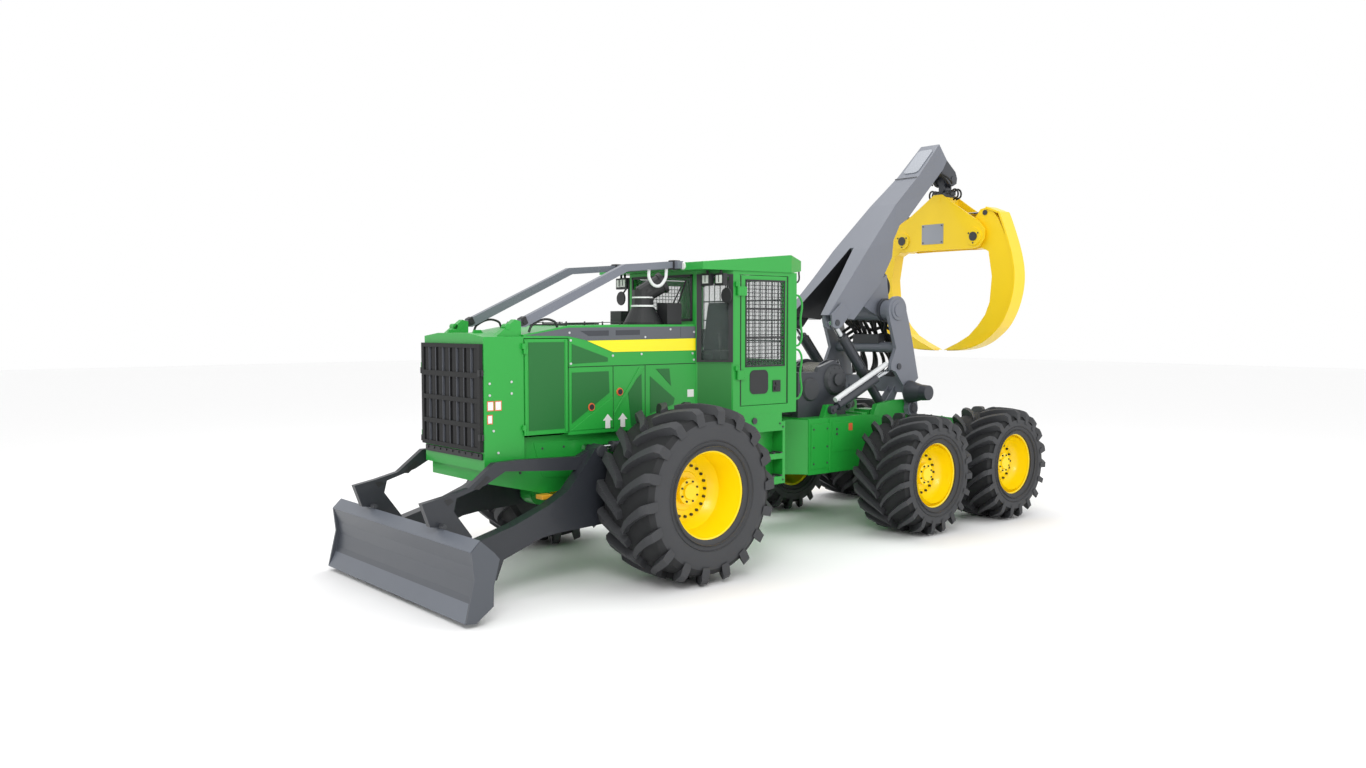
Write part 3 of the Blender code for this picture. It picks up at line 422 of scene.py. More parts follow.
eyes = bmesh.new()
for x in (-0.25, 0.25):
    plate(eyes, "x", [(-1.82, 2.45), (-1.70, 2.45), (-1.72, 2.50), (-1.80, 2.50)], x - 0.012, x + 0.012)
for side in (1, -1):
    pin(eyes, side, 0.47, 0.55, -1.60, 2.53, 0.030)
finish(eyes, "lifting_eyes", GREEN, "front", bevel=0.003)

radiator_trim = bmesh.new()
for side in (1, -1):
    for y, z in (
        (-1.828, 2.0), (-1.592, 2.01), (-1.828, 1.89), (-1.592, 1.90), (-1.79, 1.555), (-1.742, 1.345),
    ):
        pin(radiator_trim, side, 0.585, 0.592, y, z, 0.012, sides=10)
finish(radiator_trim, "housing_bolts", BOLT_STEEL, "front")
LABEL = coating("blank label", colour(226, 228, 224), rough=0.5)
LABEL_AMBER = coating("blank amber label", colour(214, 96, 52), rough=0.5)
LABELS = ((-1.856, -1.784, 1.743, 1.836), (-1.774, -1.70, 1.743, 1.836), (-1.856, -1.797, 1.62, 1.708))
borders = bmesh.new()
labels = bmesh.new()
for y0, y1, z0, z1 in LABELS:
    box(borders, (0.5855, 0.587), (y0, y1), (z0, z1))
    box(labels, (0.587, 0.588), (y0 + 0.008, y1 - 0.008), (z0 + 0.008, z1 - 0.008))
finish(borders, "label_borders", LABEL_AMBER, "front")
finish(labels, "service_labels", LABEL, "front")

# ---- Engine hood and its side doors --------------------------------------------------------
# Sheet-steel hood: a grey strip and a yellow stripe run along the top of each side, over punched
# air panels in darker green, pressed panels, seams and locks. Low rails and the intake's clamps,
# mouth ring and pale hose stand on the roof.

STRIPE = coating("stripe yellow", colour(255, 232, 0), rough=0.35, coat=0.3)
STRIP_GREY = coating("strip grey", colour(88, 92, 98), rough=0.4)
SEAM = coating("seam shadow", colour(8, 40, 16), rough=0.7)


def punched(name, light, dark, scale):
    """Painted sheet with rows of small holes."""
    sheet, nodes, links, shader = new_material(name, 0.45)
    place = add_node(nodes, "TexCoord")
    stretch = add_node(nodes, "Mapping", Scale=(scale, scale, scale))
    links.new(place.outputs["Object"], stretch.inputs["Vector"])
    cells = add_node(nodes, "TexVoronoi", Scale=1.0, Randomness=0.0)
    links.new(stretch.outputs["Vector"], cells.inputs["Vector"])
    ramp = add_node(nodes, "ValToRGB")
    ramp.color_ramp.elements[0].position = 0.36
    ramp.color_ramp.elements[0].color = dark
    ramp.color_ramp.elements[1].position = 0.44
    ramp.color_ramp.elements[1].color = light
    links.new(cells.outputs["Distance"], ramp.inputs["Fac"])
    links.new(ramp.outputs["Color"], shader.inputs["Base Color"])
    return sheet


MESH_GREEN = punched("punched green sheet", colour(18, 104, 40), colour(6, 30, 12), 62)
HOOD_SIDE = 0.585
SKIN = HOOD_SIDE + 0.0004  # just proud of the sheet
for side, hand in BOTH_HANDS:
    strip = bmesh.new()
    side_plate(
        strip, side,
        [(-1.43, 2.446), (-0.945, 2.52), (0.712, 2.53), (0.712, 2.404), (-0.716, 2.392), (-0.94, 2.437)],
        SKIN, HOOD_SIDE + 0.0035,
    )
    finish(strip, f"hood_grey_strip_{hand}", STRIP_GREY, "front")
    stripe = bmesh.new()
    stripe_outline = [(-0.716, 2.389), (0.714, 2.401), (0.714, 2.272), (-0.401, 2.272)]
    side_plate(stripe, side, stripe_outline, SKIN, HOOD_SIDE + 0.0045)
    finish(stripe, f"hood_yellow_stripe_{hand}", STRIPE, "front")
    louvre = bmesh.new()
    for slot in (
        [(-0.80, 2.488), (-0.45, 2.492), (-0.45, 2.438), (-0.70, 2.436)],
        [(-0.362, 2.492), (-0.05, 2.496), (-0.05, 2.444), (-0.362, 2.440)],
    ):
        side_plate(louvre, side, slot, HOOD_SIDE + 0.0035, HOOD_SIDE + 0.005)
    box(louvre, sided(side, HOOD_SIDE + 0.0035, HOOD_SIDE + 0.0045), (0.50, 0.504), (2.41, 2.525))
    finish(louvre, f"hood_slots_{hand}", CHARCOAL, "front")
    mesh_panels = bmesh.new()
    outlines = [
        [(-0.899, 2.359), (-0.462, 2.216), (-0.462, 2.177), (-0.901, 2.163)],
        [(-0.901, 2.076), (-0.452, 2.079), (-0.443, 1.86), (-0.905, 1.571)],
        [(-0.03, 2.04), (-0.02, 1.56), (-0.165, 1.50), (-0.205, 1.885)],
        [(0.165, 2.085), (0.345, 2.085), (0.37, 1.90)],
        [(0.085, 2.01), (0.42, 1.765), (0.40, 1.70), (0.085, 1.62)],
    ]
    for outline in outlines:
        side_plate(mesh_panels, side, outline, SKIN, HOOD_SIDE + 0.004)
    finish(mesh_panels, f"hood_air_panels_{hand}", MESH_GREEN, "front")
    seams = bmesh.new()
    for y, z in (
        ((-0.399, -0.391), (1.486, 2.129)), ((0.016, 0.024), (1.486, 2.129)),
        ((-0.945, 0.719), (2.127, 2.135)), ((-0.941, -0.935), (1.486, 2.42)),
    ):
        box(seams, sided(side, SKIN, HOOD_SIDE + 0.0015), y, z)
    finish(seams, f"hood_seams_{hand}", SEAM, "front")
    folds = bmesh.new()
    side_plate(folds, side, [(-0.93, 1.50), (-0.40, 1.82), (-0.40, 1.50)], SKIN, HOOD_SIDE + 0.008)
    side_plate(
        folds, side, [(-0.385, 1.62), (-0.385, 1.66), (-0.06, 2.11), (0.0, 2.11)],
        SKIN, HOOD_SIDE + 0.008,
    )
    finish(folds, f"hood_pressed_panels_{hand}", GREEN, "front", bevel=0.004)
    fasteners = bmesh.new()
    rings = bmesh.new()
    for y, z in ((-0.668, 1.725), (-0.311, 1.863)):
        pin(rings, side, HOOD_SIDE, HOOD_SIDE + 0.010, y, z, 0.042, 0.038, sides=28)
        pin(fasteners, side, HOOD_SIDE + 0.008, HOOD_SIDE + 0.013, y, z, 0.028, sides=24)
    finish(fasteners, f"hood_door_locks_{hand}", BLACK, "front")
    finish(rings, f"hood_lock_rings_{hand}", LABEL_AMBER, "front")
    heads = bmesh.new()
    for y, z in (
        (-0.915, 2.395), (-0.915, 2.165), (-0.40, 2.235), (-0.03, 2.245), (0.67, 2.24), (0.69, 2.47),
        (0.69, 2.17), (-0.93, 2.47), (0.02, 2.42), (0.36, 2.50),
    ):
        pin(heads, side, HOOD_SIDE, HOOD_SIDE + 0.008, y, z, 0.012, sides=10)
    finish(heads, f"hood_bolts_{hand}", BOLT_STEEL, "front")
    cooler_mesh = bmesh.new()
    box(cooler_mesh, sided(side, SKIN, HOOD_SIDE + 0.004), (-1.400, -0.992), (1.53, 2.38))
    finish(cooler_mesh, f"cooler_door_mesh_{hand}", MESH_GREEN, f"cooler_door_{hand}")
    frame_strip = bmesh.new()
    for y in (-1.43, -0.968):
        box(frame_strip, sided(side, HOOD_SIDE, HOOD_SIDE + 0.008), (y - 0.014, y + 0.014), (1.50, 2.40))
    finish(frame_strip, f"cooler_door_edges_{hand}", GREEN, f"cooler_door_{hand}", bevel=0.003)
    labels = bmesh.new()
    for y in (-0.50, -0.31):
        side_plate(
            labels, side,
            [
                (y, 1.50), (y + 0.06, 1.50), (y + 0.06, 1.58), (y + 0.09, 1.58), (y + 0.03, 1.645),
                (y - 0.03, 1.58), (y, 1.58),
            ],
            HOOD_SIDE + 0.0085, HOOD_SIDE + 0.0095,
        )
    box(labels, sided(side, SKIN, HOOD_SIDE + 0.002), (0.60, 0.69), (1.77, 1.85))
    finish(labels, f"hood_blank_labels_{hand}", LABEL, "front")


def hose(name, points, radius, material, body):
    """A smooth round hose through the given points, fixed at both ends."""
    curve = bpy.data.curves.new(name, "CURVE")
    curve.dimensions = "3D"
    curve.bevel_depth = radius
    curve.bevel_resolution = 3
    curve.resolution_u = 10
    curve.use_fill_caps = True
    line = curve.splines.new("BEZIER")
    line.bezier_points.add(len(points) - 1)
    for point, knot in zip(points, line.bezier_points):
        knot.co = point
        knot.handle_left_type = knot.handle_right_type = "AUTO"
    curve.materials.append(material)
    piece = bpy.data.objects.new(name, curve)
    piece.location.y = FRONT_AXLE
    bpy.context.scene.collection.objects.link(piece)
    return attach(piece, body)


for side, hand in BOTH_HANDS:
    hose(
        f"hood_rail_{hand}",
        [
            (side * 0.53, -1.36, 2.48), (side * 0.53, -1.32, 2.545), (side * 0.53, -1.07, 2.582),
            (side * 0.53, -1.03, 2.52),
        ],
        0.012, BLACK, "front",
    )
    edge_rail = bmesh.new()
    bar(edge_rail, (side * 0.55, -0.96, 2.565), (side * 0.55, -0.24, 2.575), 0.004, sides=8)
    for y in (-0.94, -0.72, -0.50, -0.28):
        bar(edge_rail, (side * 0.55, y, 2.535), (side * 0.55, y, 2.582), 0.008, sides=8)
    finish(edge_rail, f"hood_edge_rail_{hand}", BLACK, "front")
roof_trim = bmesh.new()
box(roof_trim, (-0.50, 0.50), (-0.93, -0.90), (2.541, 2.556))
box(roof_trim, (-0.36, -0.06), (-0.62, -0.10), (2.546, 2.566))
box(roof_trim, (0.36, 0.54), (0.36, 0.56), (2.551, 2.78))
box(roof_trim, (-0.40, -0.20), (0.30, 0.44), (2.551, 2.70))
finish(roof_trim, "hood_top_fittings", BLACK, "front", bevel=0.004)
WHITE_HOSE = coating("pale hose", colour(228, 230, 230), rough=0.5)
clamps = bmesh.new()
bar(clamps, (0.30, 0.218, 2.738), (0.30, 0.218, 2.758), 0.130, sides=32)
bar(clamps, (0.30, 0.218, 2.83), (0.30, 0.218, 2.846), 0.117, sides=32)
spin_ring = Vector((0.40 - 0.29, 0.41 - 0.198, 0.14)).normalized()
mouth = Vector((0.40, 0.41, 3.0))
finish(clamps, "intake_clamps", WHITE_HOSE, "front", bevel=0.002)
mouth_ring = bmesh.new()
bar(mouth_ring, mouth - spin_ring * 0.03, mouth + spin_ring * 0.012, 0.118, sides=32)
finish(mouth_ring, "intake_mouth_ring", BLACK, "front", bevel=0.002)
hose(
    "intake_side_hose",
    [(0.50, 0.14, 3.13), (0.50, 0.15, 3.03), (0.50, 0.25, 2.955), (0.50, 0.36, 3.03), (0.50, 0.38, 3.14)],
    0.017, WHITE_HOSE, "front",
)

# ---- Cab --------------------------------------------------------------------------------
# Steel cab with a mesh-guarded door on each side, angled front-quarter windows, black rubber
# seals, hand rails, work lights under the roof's front edge, locks, blank badges and mirrors.
# Bars guard the rear window, and the roof ends in two hooks.



def rounded(across, along, radius):
    """A rectangle with round corners, from the (low, high) places of its corners' middles."""
    (left, right), (low, high) = across, along
    outline = []
    for a, b, start in ((right, high, 0), (left, high, 90), (left, low, 180), (right, low, 270)):
        turns = [radians(start + 15 * k) for k in range(7)]
        outline += [(a + radius * cos(turn), b + radius * sin(turn)) for turn in turns]
    return outline


def upright(shape, side, outline, low, high):
    """A standing plate on one hand, its outline drawn from above for the left one."""
    plate(shape, "z", [(side * x, y) for x, y in outline], low, high)


# Painted shade: a darker copy of the machine green for the forward-angled panel between hood and door,
# standing in for the shade on it.
APRON_SHADE_GREEN = coating("apron green", colour(36, 122, 50), rough=0.45)
for side, hand in BOTH_HANDS:
    door = f"cab_door_{hand}"
    seal = bmesh.new()
    for y in (1.170, 1.763):
        box(seal, sided(side, 0.896, 0.904), (y - 0.010, y + 0.010), (2.094, 3.030))
    for z in (2.094, 3.030):
        box(seal, sided(side, 0.896, 0.904), (1.160, 1.773), (z - 0.010, z + 0.010))
    finish(seal, f"door_window_seal_{hand}", BLACK, door, bevel=0.002)
    wires = bmesh.new()
    for k in range(1, 12):
        y = 1.178 + 0.577 * k / 12
        box(wires, sided(side, 0.8925, 0.8965), (y - 0.0022, y + 0.0022), (2.104, 3.020))
    for k in range(1, 22):
        z = 2.104 + 0.916 * k / 22
        box(wires, sided(side, 0.8905, 0.8925), (1.178, 1.755), (z - 0.0036, z + 0.0036))
    for z in (2.41, 2.72):
        box(wires, sided(side, 0.893, 0.901), (1.178, 1.755), (z - 0.009, z + 0.009))
    finish(wires, f"door_window_mesh_{hand}", BLACK, door)
    edge = bmesh.new()
    for y in (1.092, 1.809):
        box(edge, sided(side, 0.8985, 0.9015), (y - 0.006, y + 0.006), (1.67, 3.08))
    finish(edge, f"door_edge_seal_{hand}", BLACK, door)
    lock = bmesh.new()
    box(lock, sided(side, 0.898, 0.910), (1.58, 1.70), (1.80, 1.93))
    pin(lock, side, 0.91, 0.922, 1.63, 1.895, 0.016, sides=16)
    box(lock, sided(side, 0.912, 0.922), (1.605, 1.655), (1.82, 1.86))
    finish(lock, f"door_lock_{hand}", BLACK, door, bevel=0.003)
    badge = bmesh.new()
    side_plate(badge, side, rounded((1.29, 1.45), (1.845, 1.99), 0.06), 0.8985, 0.903)
    finish(badge, f"door_blank_badge_{hand}", BLACK, door)
    hinges = bmesh.new()
    for z in (2.003, 2.911):
        box(hinges, sided(side, 0.900, 0.916), (1.10, 1.17), (z - 0.045, z + 0.045))
        for dz in (-0.025, 0.025):
            pin(hinges, side, 0.912, 0.924, 1.135, z + dz, 0.009, sides=6)
    finish(hinges, f"door_hinge_leaves_{hand}", GREEN, door, bevel=0.002)

    rails = ((2.305, 2.884), (1.70, 2.271))
    for k, (low, high) in enumerate(rails):
        hose(
            f"cab_rear_rail_{hand}_{k}",
            [
                (side * 0.88, 1.955, low), (side * 0.905, 2.0, low + 0.02),
                (side * 0.91, 2.015, (low + high) / 2), (side * 0.905, 2.0, high - 0.02),
                (side * 0.88, 1.955, high),
            ],
            0.012, GREEN, "front",
        )
    pillar = bmesh.new()
    upright(pillar, side, [(0.600, 0.722), (0.640, 0.755), (0.650, 0.742), (0.610, 0.710)], 2.16, 3.08)
    upright(pillar, side, [(0.868, 0.944), (0.905, 0.974), (0.915, 0.962), (0.878, 0.932)], 2.16, 3.08)
    finish(pillar, f"quarter_window_seals_{hand}", BLACK, "front")
    sill = bmesh.new()
    for low, high in ((2.145, 2.168), (3.07, 3.09)):
        upright(sill, side, [(0.600, 0.722), (0.905, 0.974), (0.915, 0.962), (0.610, 0.710)], low, high)
    finish(sill, f"quarter_window_sills_{hand}", BLACK, "front")
    lamps = bmesh.new()
    lenses = bmesh.new()
    for x, y in ((0.73, 0.73), (0.88, 0.79)):
        box(lamps, sided(side, x - 0.068, x + 0.068), (y, y + 0.06), (2.965, 3.095))
        box(lenses, sided(side, x - 0.046, x + 0.046), (y - 0.005, y + 0.001), (2.99, 3.075))
        bar(lamps, (side * x, y + 0.03, 3.09), (side * x, y + 0.03, 3.131), 0.014)
        box(lamps, sided(side, x - 0.006, x + 0.006), (y - 0.008, y), (3.0, 3.08))
    bar(lenses, (side * 0.60, 0.532, 3.175), (side * 0.60, 0.515, 3.175), 0.042, 0.036, sides=24)
    finish(lamps, f"work_light_shells_{hand}", BLACK, "front", bevel=0.006)
    finish(lenses, f"work_light_lenses_{hand}", LABEL, "front")
    # The angled apron plate carries that painted shade.
    apron = bmesh.new()
    apron_outline = [(0.6007, 0.7323), (0.8861, 0.9679), (0.8877, 0.9660), (0.6023, 0.7304)]
    upright(apron, side, apron_outline, 1.60, 2.135)
    finish(apron, f"cab_angled_apron_{hand}", APRON_SHADE_GREEN, "front")
    mirror = bmesh.new()
    bar(mirror, (side * 0.93, 0.86, 2.86), (side * 0.93, 0.845, 2.86), 0.085, 0.080, sides=32)
    bar(mirror, (side * 0.87, 0.93, 3.02), (side * 0.93, 0.865, 2.90), 0.010)
    finish(mirror, f"mirror_{hand}", BLACK, "front", bevel=0.004)

window_frame = bmesh.new()
for x in (-0.52, 0.52):
    box(window_frame, (x - 0.014, x + 0.014), (0.708, 0.722), (2.59, 3.09))
for z in (2.60, 3.08):
    box(window_frame, (-0.534, 0.534), (0.708, 0.722), (z - 0.014, z + 0.014))
finish(window_frame, "windscreen_seal", BLACK, "front", bevel=0.003)
rear_guard = bmesh.new()
for k in range(15):
    x = -0.70 + 0.1 * k
    bar(rear_guard, (x, 1.972, 2.15), (x, 1.972, 3.05), 0.006, sides=8)
for z in (2.14, 2.36, 2.60, 2.83, 3.06):
    bar(rear_guard, (-0.72, 1.966, z), (0.72, 1.966, z), 0.009, sides=8)
finish(rear_guard, "rear_window_guard", BLACK, "front")
wiper = bmesh.new()
bar(wiper, (0.10, 0.70, 2.62), (0.36, 0.702, 2.96), 0.007, sides=8)
bar(wiper, (0.28, 0.704, 2.72), (0.44, 0.704, 3.03), 0.009, sides=8)
finish(wiper, "wiper", BLACK, "front")

for side, hand in BOTH_HANDS:
    hose(
        f"roof_hook_{hand}",
        [
            (side * 0.80, 2.0, 3.15), (side * 0.80, 2.005, 3.05), (side * 0.80, 2.085, 3.04),
            (side * 0.80, 2.10, 3.16),
        ],
        0.010, BLACK, "front",
    )

# ---- Operator's place --------------------------------------------------------------------
# A cloth seat on its pedestal with thick cushions and arm pods, the console with a steering
# wheel and screen, and joysticks.

SEAT_CLOTH = coating("seat cloth", colour(34, 35, 38), rough=0.9, grain=260, bump=0.3)


def cushion(name, size, centre, tilt):
    """A stuffed cushion with rounded sides and a slight crown."""
    shape = bmesh.new()
    bmesh.ops.create_cube(shape, size=1)
    bmesh.ops.subdivide_edges(shape, edges=shape.edges, cuts=7, use_grid_fill=True)
    for vert in shape.verts:
        u, v, w = (2 * c for c in vert.co)
        ease = (1 - 0.18 * (u * u + v * v) / 2)
        vert.co = Vector(
            (
                u * (1 - 0.10 * w * w) * size[0] / 2, v * (1 - 0.10 * w * w) * size[1] / 2,
                w * ease * size[2] / 2,
            )
        )
    bmesh.ops.transform(
        shape, matrix=Matrix.Translation(centre) @ Matrix.Rotation(tilt, 4, "X"), verts=shape.verts,
    )
    piece = finish(shape, name, SEAT_CLOTH, "front", smooth=3.0)
    return piece


cushion("seat_cushion", (0.46, 0.46, 0.14), (0, 1.43, 2.17), 0.05)
cushion("seat_back_cushion", (0.44, 0.62, 0.13), (0, 1.61, 2.50), radians(82))
steering = bmesh.new()
bar(steering, (0, 0.93, 2.33), (0, 1.04, 2.45), 0.022)
spin(steering, circle(0.02, 0.17, 0.012, 8), 0, 0, steps=40)
wheel_verts = [v for v in steering.verts if v.co.z < 1.0]
wheel_lean = Matrix.Rotation(radians(48), 4, "X") @ Matrix.Rotation(radians(-90), 4, "Y")
bmesh.ops.transform(steering, matrix=Matrix.Translation((0, 1.05, 2.46)) @ wheel_lean, verts=wheel_verts)
bar(steering, (-0.17, 1.043, 2.463), (0.17, 1.043, 2.463), 0.010)
finish(steering, "steering_wheel", BLACK, "front")
screen = bmesh.new()
box(screen, (0.30, 0.56), (0.84, 0.88), (2.30, 2.50))
bar(screen, (0.34, 0.87, 2.10), (0.40, 0.87, 2.32), 0.014)
for x in (-0.31, 0.31):
    bar(screen, (x, 1.32, 2.25), (x, 1.30, 2.40), 0.014)
    bar(screen, (x, 1.30, 2.38), (x, 1.295, 2.45), 0.026, 0.020)
finish(screen, "screen_and_joysticks", BLACK, "front", bevel=0.004)

# ---- Limb guards, steps and tanks -----------------------------------------------------------
# Grey limb-riser bars pinned at black collars, and the step tanks under the doors with ribbed
# treads, filler cap, drain plugs and grab rail.

collars = bmesh.new()
for side in (1, -1):
    side_plate(
        collars, side,
        [(-1.452, 2.535), (-1.405, 2.545), (-1.375, 2.565), (-1.405, 2.632), (-1.452, 2.608)],
        0.468, 0.552,
    )
    pin(collars, side, 0.462, 0.560, -1.42, 2.575, 0.020)
    box(collars, sided(side, 0.47, 0.552), (0.43, 0.527), (3.135, 3.235))
finish(collars, "guard_collars", BLACK, "front", bevel=0.004)
TREAD = coating("tread steel", colour(60, 62, 64), rough=0.55, bump=0.2)
for side, hand in BOTH_HANDS:
    treads = bmesh.new()
    for z in (1.105, 0.845):
        for k in range(5):
            y = 1.27 + 0.115 * k
            box(treads, sided(side, 0.76, 0.90), (y - 0.014, y + 0.014), (z - 0.004, z + 0.012))
    finish(treads, f"step_treads_{hand}", TREAD, "front")
    cap = bmesh.new()
    pin(cap, side, 0.90, 0.915, 1.30, 1.49, 0.035, sides=24)
    for y, z in ((1.10, 1.44), (1.70, 1.44), (1.21, 0.80), (1.75, 0.80), (1.21, 1.40), (1.75, 1.40)):
        pin(cap, side, 0.898, 0.908, y, z, 0.011, sides=6)
    finish(cap, f"tank_cap_and_bolts_{hand}", CAST, "front")
    foot = bmesh.new()
    box(foot, sided(side, 0.62, 0.86), (1.25, 1.72), (0.745, 0.762))
    finish(foot, f"tank_guard_plate_{hand}", GREEN, "front")

# ---- Front frame ---------------------------------------------------------------------------
# The heavy front box frame: cover plates, bolt rows, the axle's rings of bolts, hydraulic
# hoses that run to the blade cylinders, and the yellow transport lock bar.

bolts = bmesh.new()
for side in (1, -1):
    for y in (-1.70, -1.45, -1.20, -0.95):
        pin(bolts, side, 0.50, 0.509, y, 1.34 if y > -1.45 else 1.12, 0.013, sides=6)
    for y in (1.85, 1.92):
        for z in (0.72, 0.92, 1.12, 1.32):
            pin(bolts, side, 0.50, 0.509, y, z, 0.012, sides=6)
finish(bolts, "front_frame_bolts", CAST, "front")
covers = bmesh.new()
for side in (1, -1):
    side_plate(
        covers, side, [(-1.30, 1.40), (-0.78, 1.40), (-0.70, 1.20), (-0.78, 1.02), (-1.20, 1.06)],
        0.5003, 0.506,
    )
    box(covers, sided(side, 0.5003, 0.508), (0.86, 1.06), (0.72, 1.40))
finish(covers, "frame_cover_plates", GREEN, "front", bevel=0.002)
AMBER_PAINT = coating("amber paint", colour(232, 168, 44), rough=0.4)
lock_bar = bmesh.new()
box(lock_bar, (0.52, 0.64), (-1.29, -1.16), (0.855, 0.90))
finish(lock_bar, "transport_lock_bar", AMBER_PAINT, "front", bevel=0.008)
for side, hand in BOTH_HANDS:
    for k, drop in enumerate((0.0, 0.045)):
        hose(
            f"blade_hose_{hand}_{k}",
            [
                (side * 0.50, 0.60, 1.40 - drop), (side * 0.54, 0.45, 1.42 - drop),
                (side * 0.60, 0.20, 1.405 - drop * 0.5), (side * 0.60, 0.12, 1.375),
            ],
            0.011, BLACK, "front",
        )
axle_trim = bmesh.new()
for side in (1, -1):
    for at in circle(0, 0.89, 0.205, 12):
        pin(axle_trim, side, 0.968, 0.982, *at, 0.012, sides=6)
finish(axle_trim, "front_axle_bolts", CAST, "front")

# ---- Blade and push frame ---------------------------------------------------------------------
# The straight dozer blade: bolted cutting edge, light top flange and end plates. The push frame
# is thick plate with lightening holes and pinned knuckles.

EDGE_STEEL = coating("edge grey", colour(100, 105, 114), rough=0.4)
cutting = bmesh.new()
plate(cutting, "x", [(-2.580, 0.046), (-2.5, 0.192), (-2.488, 0.186), (-2.568, 0.040)], -1.44, 1.44)
plate(cutting, "x", [(-2.524, 0.646), (-2.431, 0.736), (-2.427, 0.728), (-2.517, 0.640)], -1.44, 1.44)
finish(cutting, "cutting_edge_and_flange", EDGE_STEEL, "blade")
joint_line = bmesh.new()
plate(joint_line, "x", [(-2.497, 0.190), (-2.489, 0.202), (-2.483, 0.198), (-2.491, 0.186)], -1.43, 1.43)
finish(joint_line, "blade_joint_line", BLACK, "blade")
BLADE_ROD_EYE = (-0.73, 1.31)
edge_bolts = bmesh.new()
for side in (1, -1):
    pin(edge_bolts, side, 0.60, 0.82, -2.43, 0.76, 0.022)
    pin(edge_bolts, side, 0.66, 0.85, *BLADE_ROD_EYE, 0.032)
    pin(edge_bolts, side, 0.838, 0.868, *BLADE_ROD_EYE, 0.060, 0.054, sides=28)
    pin(edge_bolts, side, 0.68, 0.862, -0.62, 0.72, 0.060, 0.055, sides=28)
finish(edge_bolts, "blade_bolts_and_pins", CAST, "blade")
holes = bmesh.new()
for side in (1, -1):
    for x in (0.6788, 0.7512):
        for outline in (
            [(-2.40, 0.985), (-2.36, 0.93), (-2.30, 0.965), (-2.33, 0.995)],
            [(-2.10, 1.055), (-2.04, 1.045), (-1.92, 1.14), (-1.96, 1.17)],
        ):
            side_plate(holes, side, outline, x - 0.0008, x + 0.0008)
finish(holes, "bracket_holes", BLACK, "blade")
ribs = bmesh.new()
for side in (1, -1):
    side_plate(ribs, side, [(-2.18, 0.30), (-2.12, 0.585), (-2.14, 0.59), (-2.205, 0.30)], 0.8402, 0.852)
    for x in (1.0, 0.35):
        side_plate(
            ribs, side, [(-2.43, 0.36), (-2.32, 0.335), (-2.39, 0.55), (-2.44, 0.62)],
            x - 0.012, x + 0.012,
        )
finish(ribs, "blade_ribs", GREY, "blade")
glands = bmesh.new()
for side in (1, -1):
    way = (Vector((0, *BLADE_ROD_EYE)) - Vector((0, 0.55, 1.33))).normalized()
    base = Vector((side * 0.60, 0.55, 1.33))
    bar(glands, base + way * 0.955, base + way * 0.988, 0.056, sides=28)
    bar(glands, base + way * 0.10, base + way * 0.125, 0.056, sides=28)
finish(glands, "blade_cylinder_glands", CAST, "blade_barrels")

# ---- Rear frame, hitch and winch ---------------------------------------------------------------
# The rear box frame with its cover plates, bolt rows, tail plates and lenses, hoses looping
# through the hitch, and the winch: rope on the drum between two bolted gear cases.

REAR_SIDE = 0.5203
rear_trim = bmesh.new()
for side in (1, -1):
    box(rear_trim, sided(side, REAR_SIDE, 0.530), (2.62, 2.95), (0.80, 1.34))
    box(rear_trim, sided(side, REAR_SIDE, 0.526), (3.00, 3.40), (0.98, 1.34))
    box(rear_trim, sided(side, REAR_SIDE, 0.534), (2.94, 2.97), (0.76, 1.39))
finish(rear_trim, "rear_frame_covers", GREEN, "rear", bevel=0.002)
ARCH_PIVOT = (4.49, 1.45)
rear_bolts = bmesh.new()
for side in (1, -1):
    for y in (2.66, 2.90):
        for z in (0.86, 1.06, 1.28):
            pin(rear_bolts, side, 0.53, 0.538, y, z, 0.012, sides=6)
    for z in (1.20, 1.26):
        pin(rear_bolts, side, 0.526, 0.534, 3.08, z, 0.016, sides=16)
    pin(rear_bolts, side, 0.44, 0.62, *ARCH_PIVOT, 0.050, sides=28)
    pin(rear_bolts, side, 0.455, 0.545, 3.02, 1.50, 0.024)
finish(rear_bolts, "rear_frame_bolts_and_pins", CAST, "rear")
rear_labels = bmesh.new()
box(rear_labels, (0.5262, 0.528), (3.30, 3.37), (1.23, 1.32))
finish(rear_labels, "rear_blank_label", LABEL_AMBER, "rear")
tail_covers = bmesh.new()
plate(tail_covers, "x", [(4.70, 1.3350), (5.14, 1.3050), (5.14, 1.3130), (4.70, 1.3430)], -0.34, 0.34)
plate(tail_covers, "x", [(5.24, 1.2955), (5.54, 1.2580), (5.54, 1.2660), (5.24, 1.3035)], -0.34, 0.34)
box(tail_covers, (-0.46, 0.46), (5.6005, 5.614), (0.84, 1.21))
for side in (1, -1):
    side_plate(
        tail_covers, side, [(5.60, 0.88), (5.70, 0.92), (5.72, 0.97), (5.70, 1.02), (5.60, 1.06)],
        0.055, 0.080,
    )
finish(tail_covers, "rear_tail_covers", GREEN, "rear", bevel=0.003)
tail_bolts = bmesh.new()
bar(tail_bolts, (-0.10, 5.67, 0.97), (0.10, 5.67, 0.97), 0.022)
for side in (1, -1):
    for y, z in ((4.73, 1.341), (4.92, 1.328), (5.11, 1.315), (5.27, 1.2995), (5.51, 1.2695)):
        bar(tail_bolts, (side * 0.31, y, z - 0.01), (side * 0.31, y, z + 0.008), 0.012, sides=6)
    for z in (0.87, 1.18):
        bar(tail_bolts, (side * 0.43, 5.614, z), (side * 0.43, 5.622, z), 0.014, sides=6)
    bar(tail_bolts, (side * 0.33, 5.614, 1.10), (side * 0.33, 5.630, 1.10), 0.060, sides=28)
finish(tail_bolts, "rear_tail_bolts", CAST, "rear")
tail_lenses = bmesh.new()
for side in (1, -1):
    bar(tail_lenses, (side * 0.33, 5.630, 1.10), (side * 0.33, 5.640, 1.10), 0.048, 0.042, sides=28)
finish(tail_lenses, "rear_tail_lenses", LABEL_AMBER, "rear")
deck = bmesh.new()
box(deck, (-0.46, 0.46), (3.62, 3.73), (1.395, 1.43))
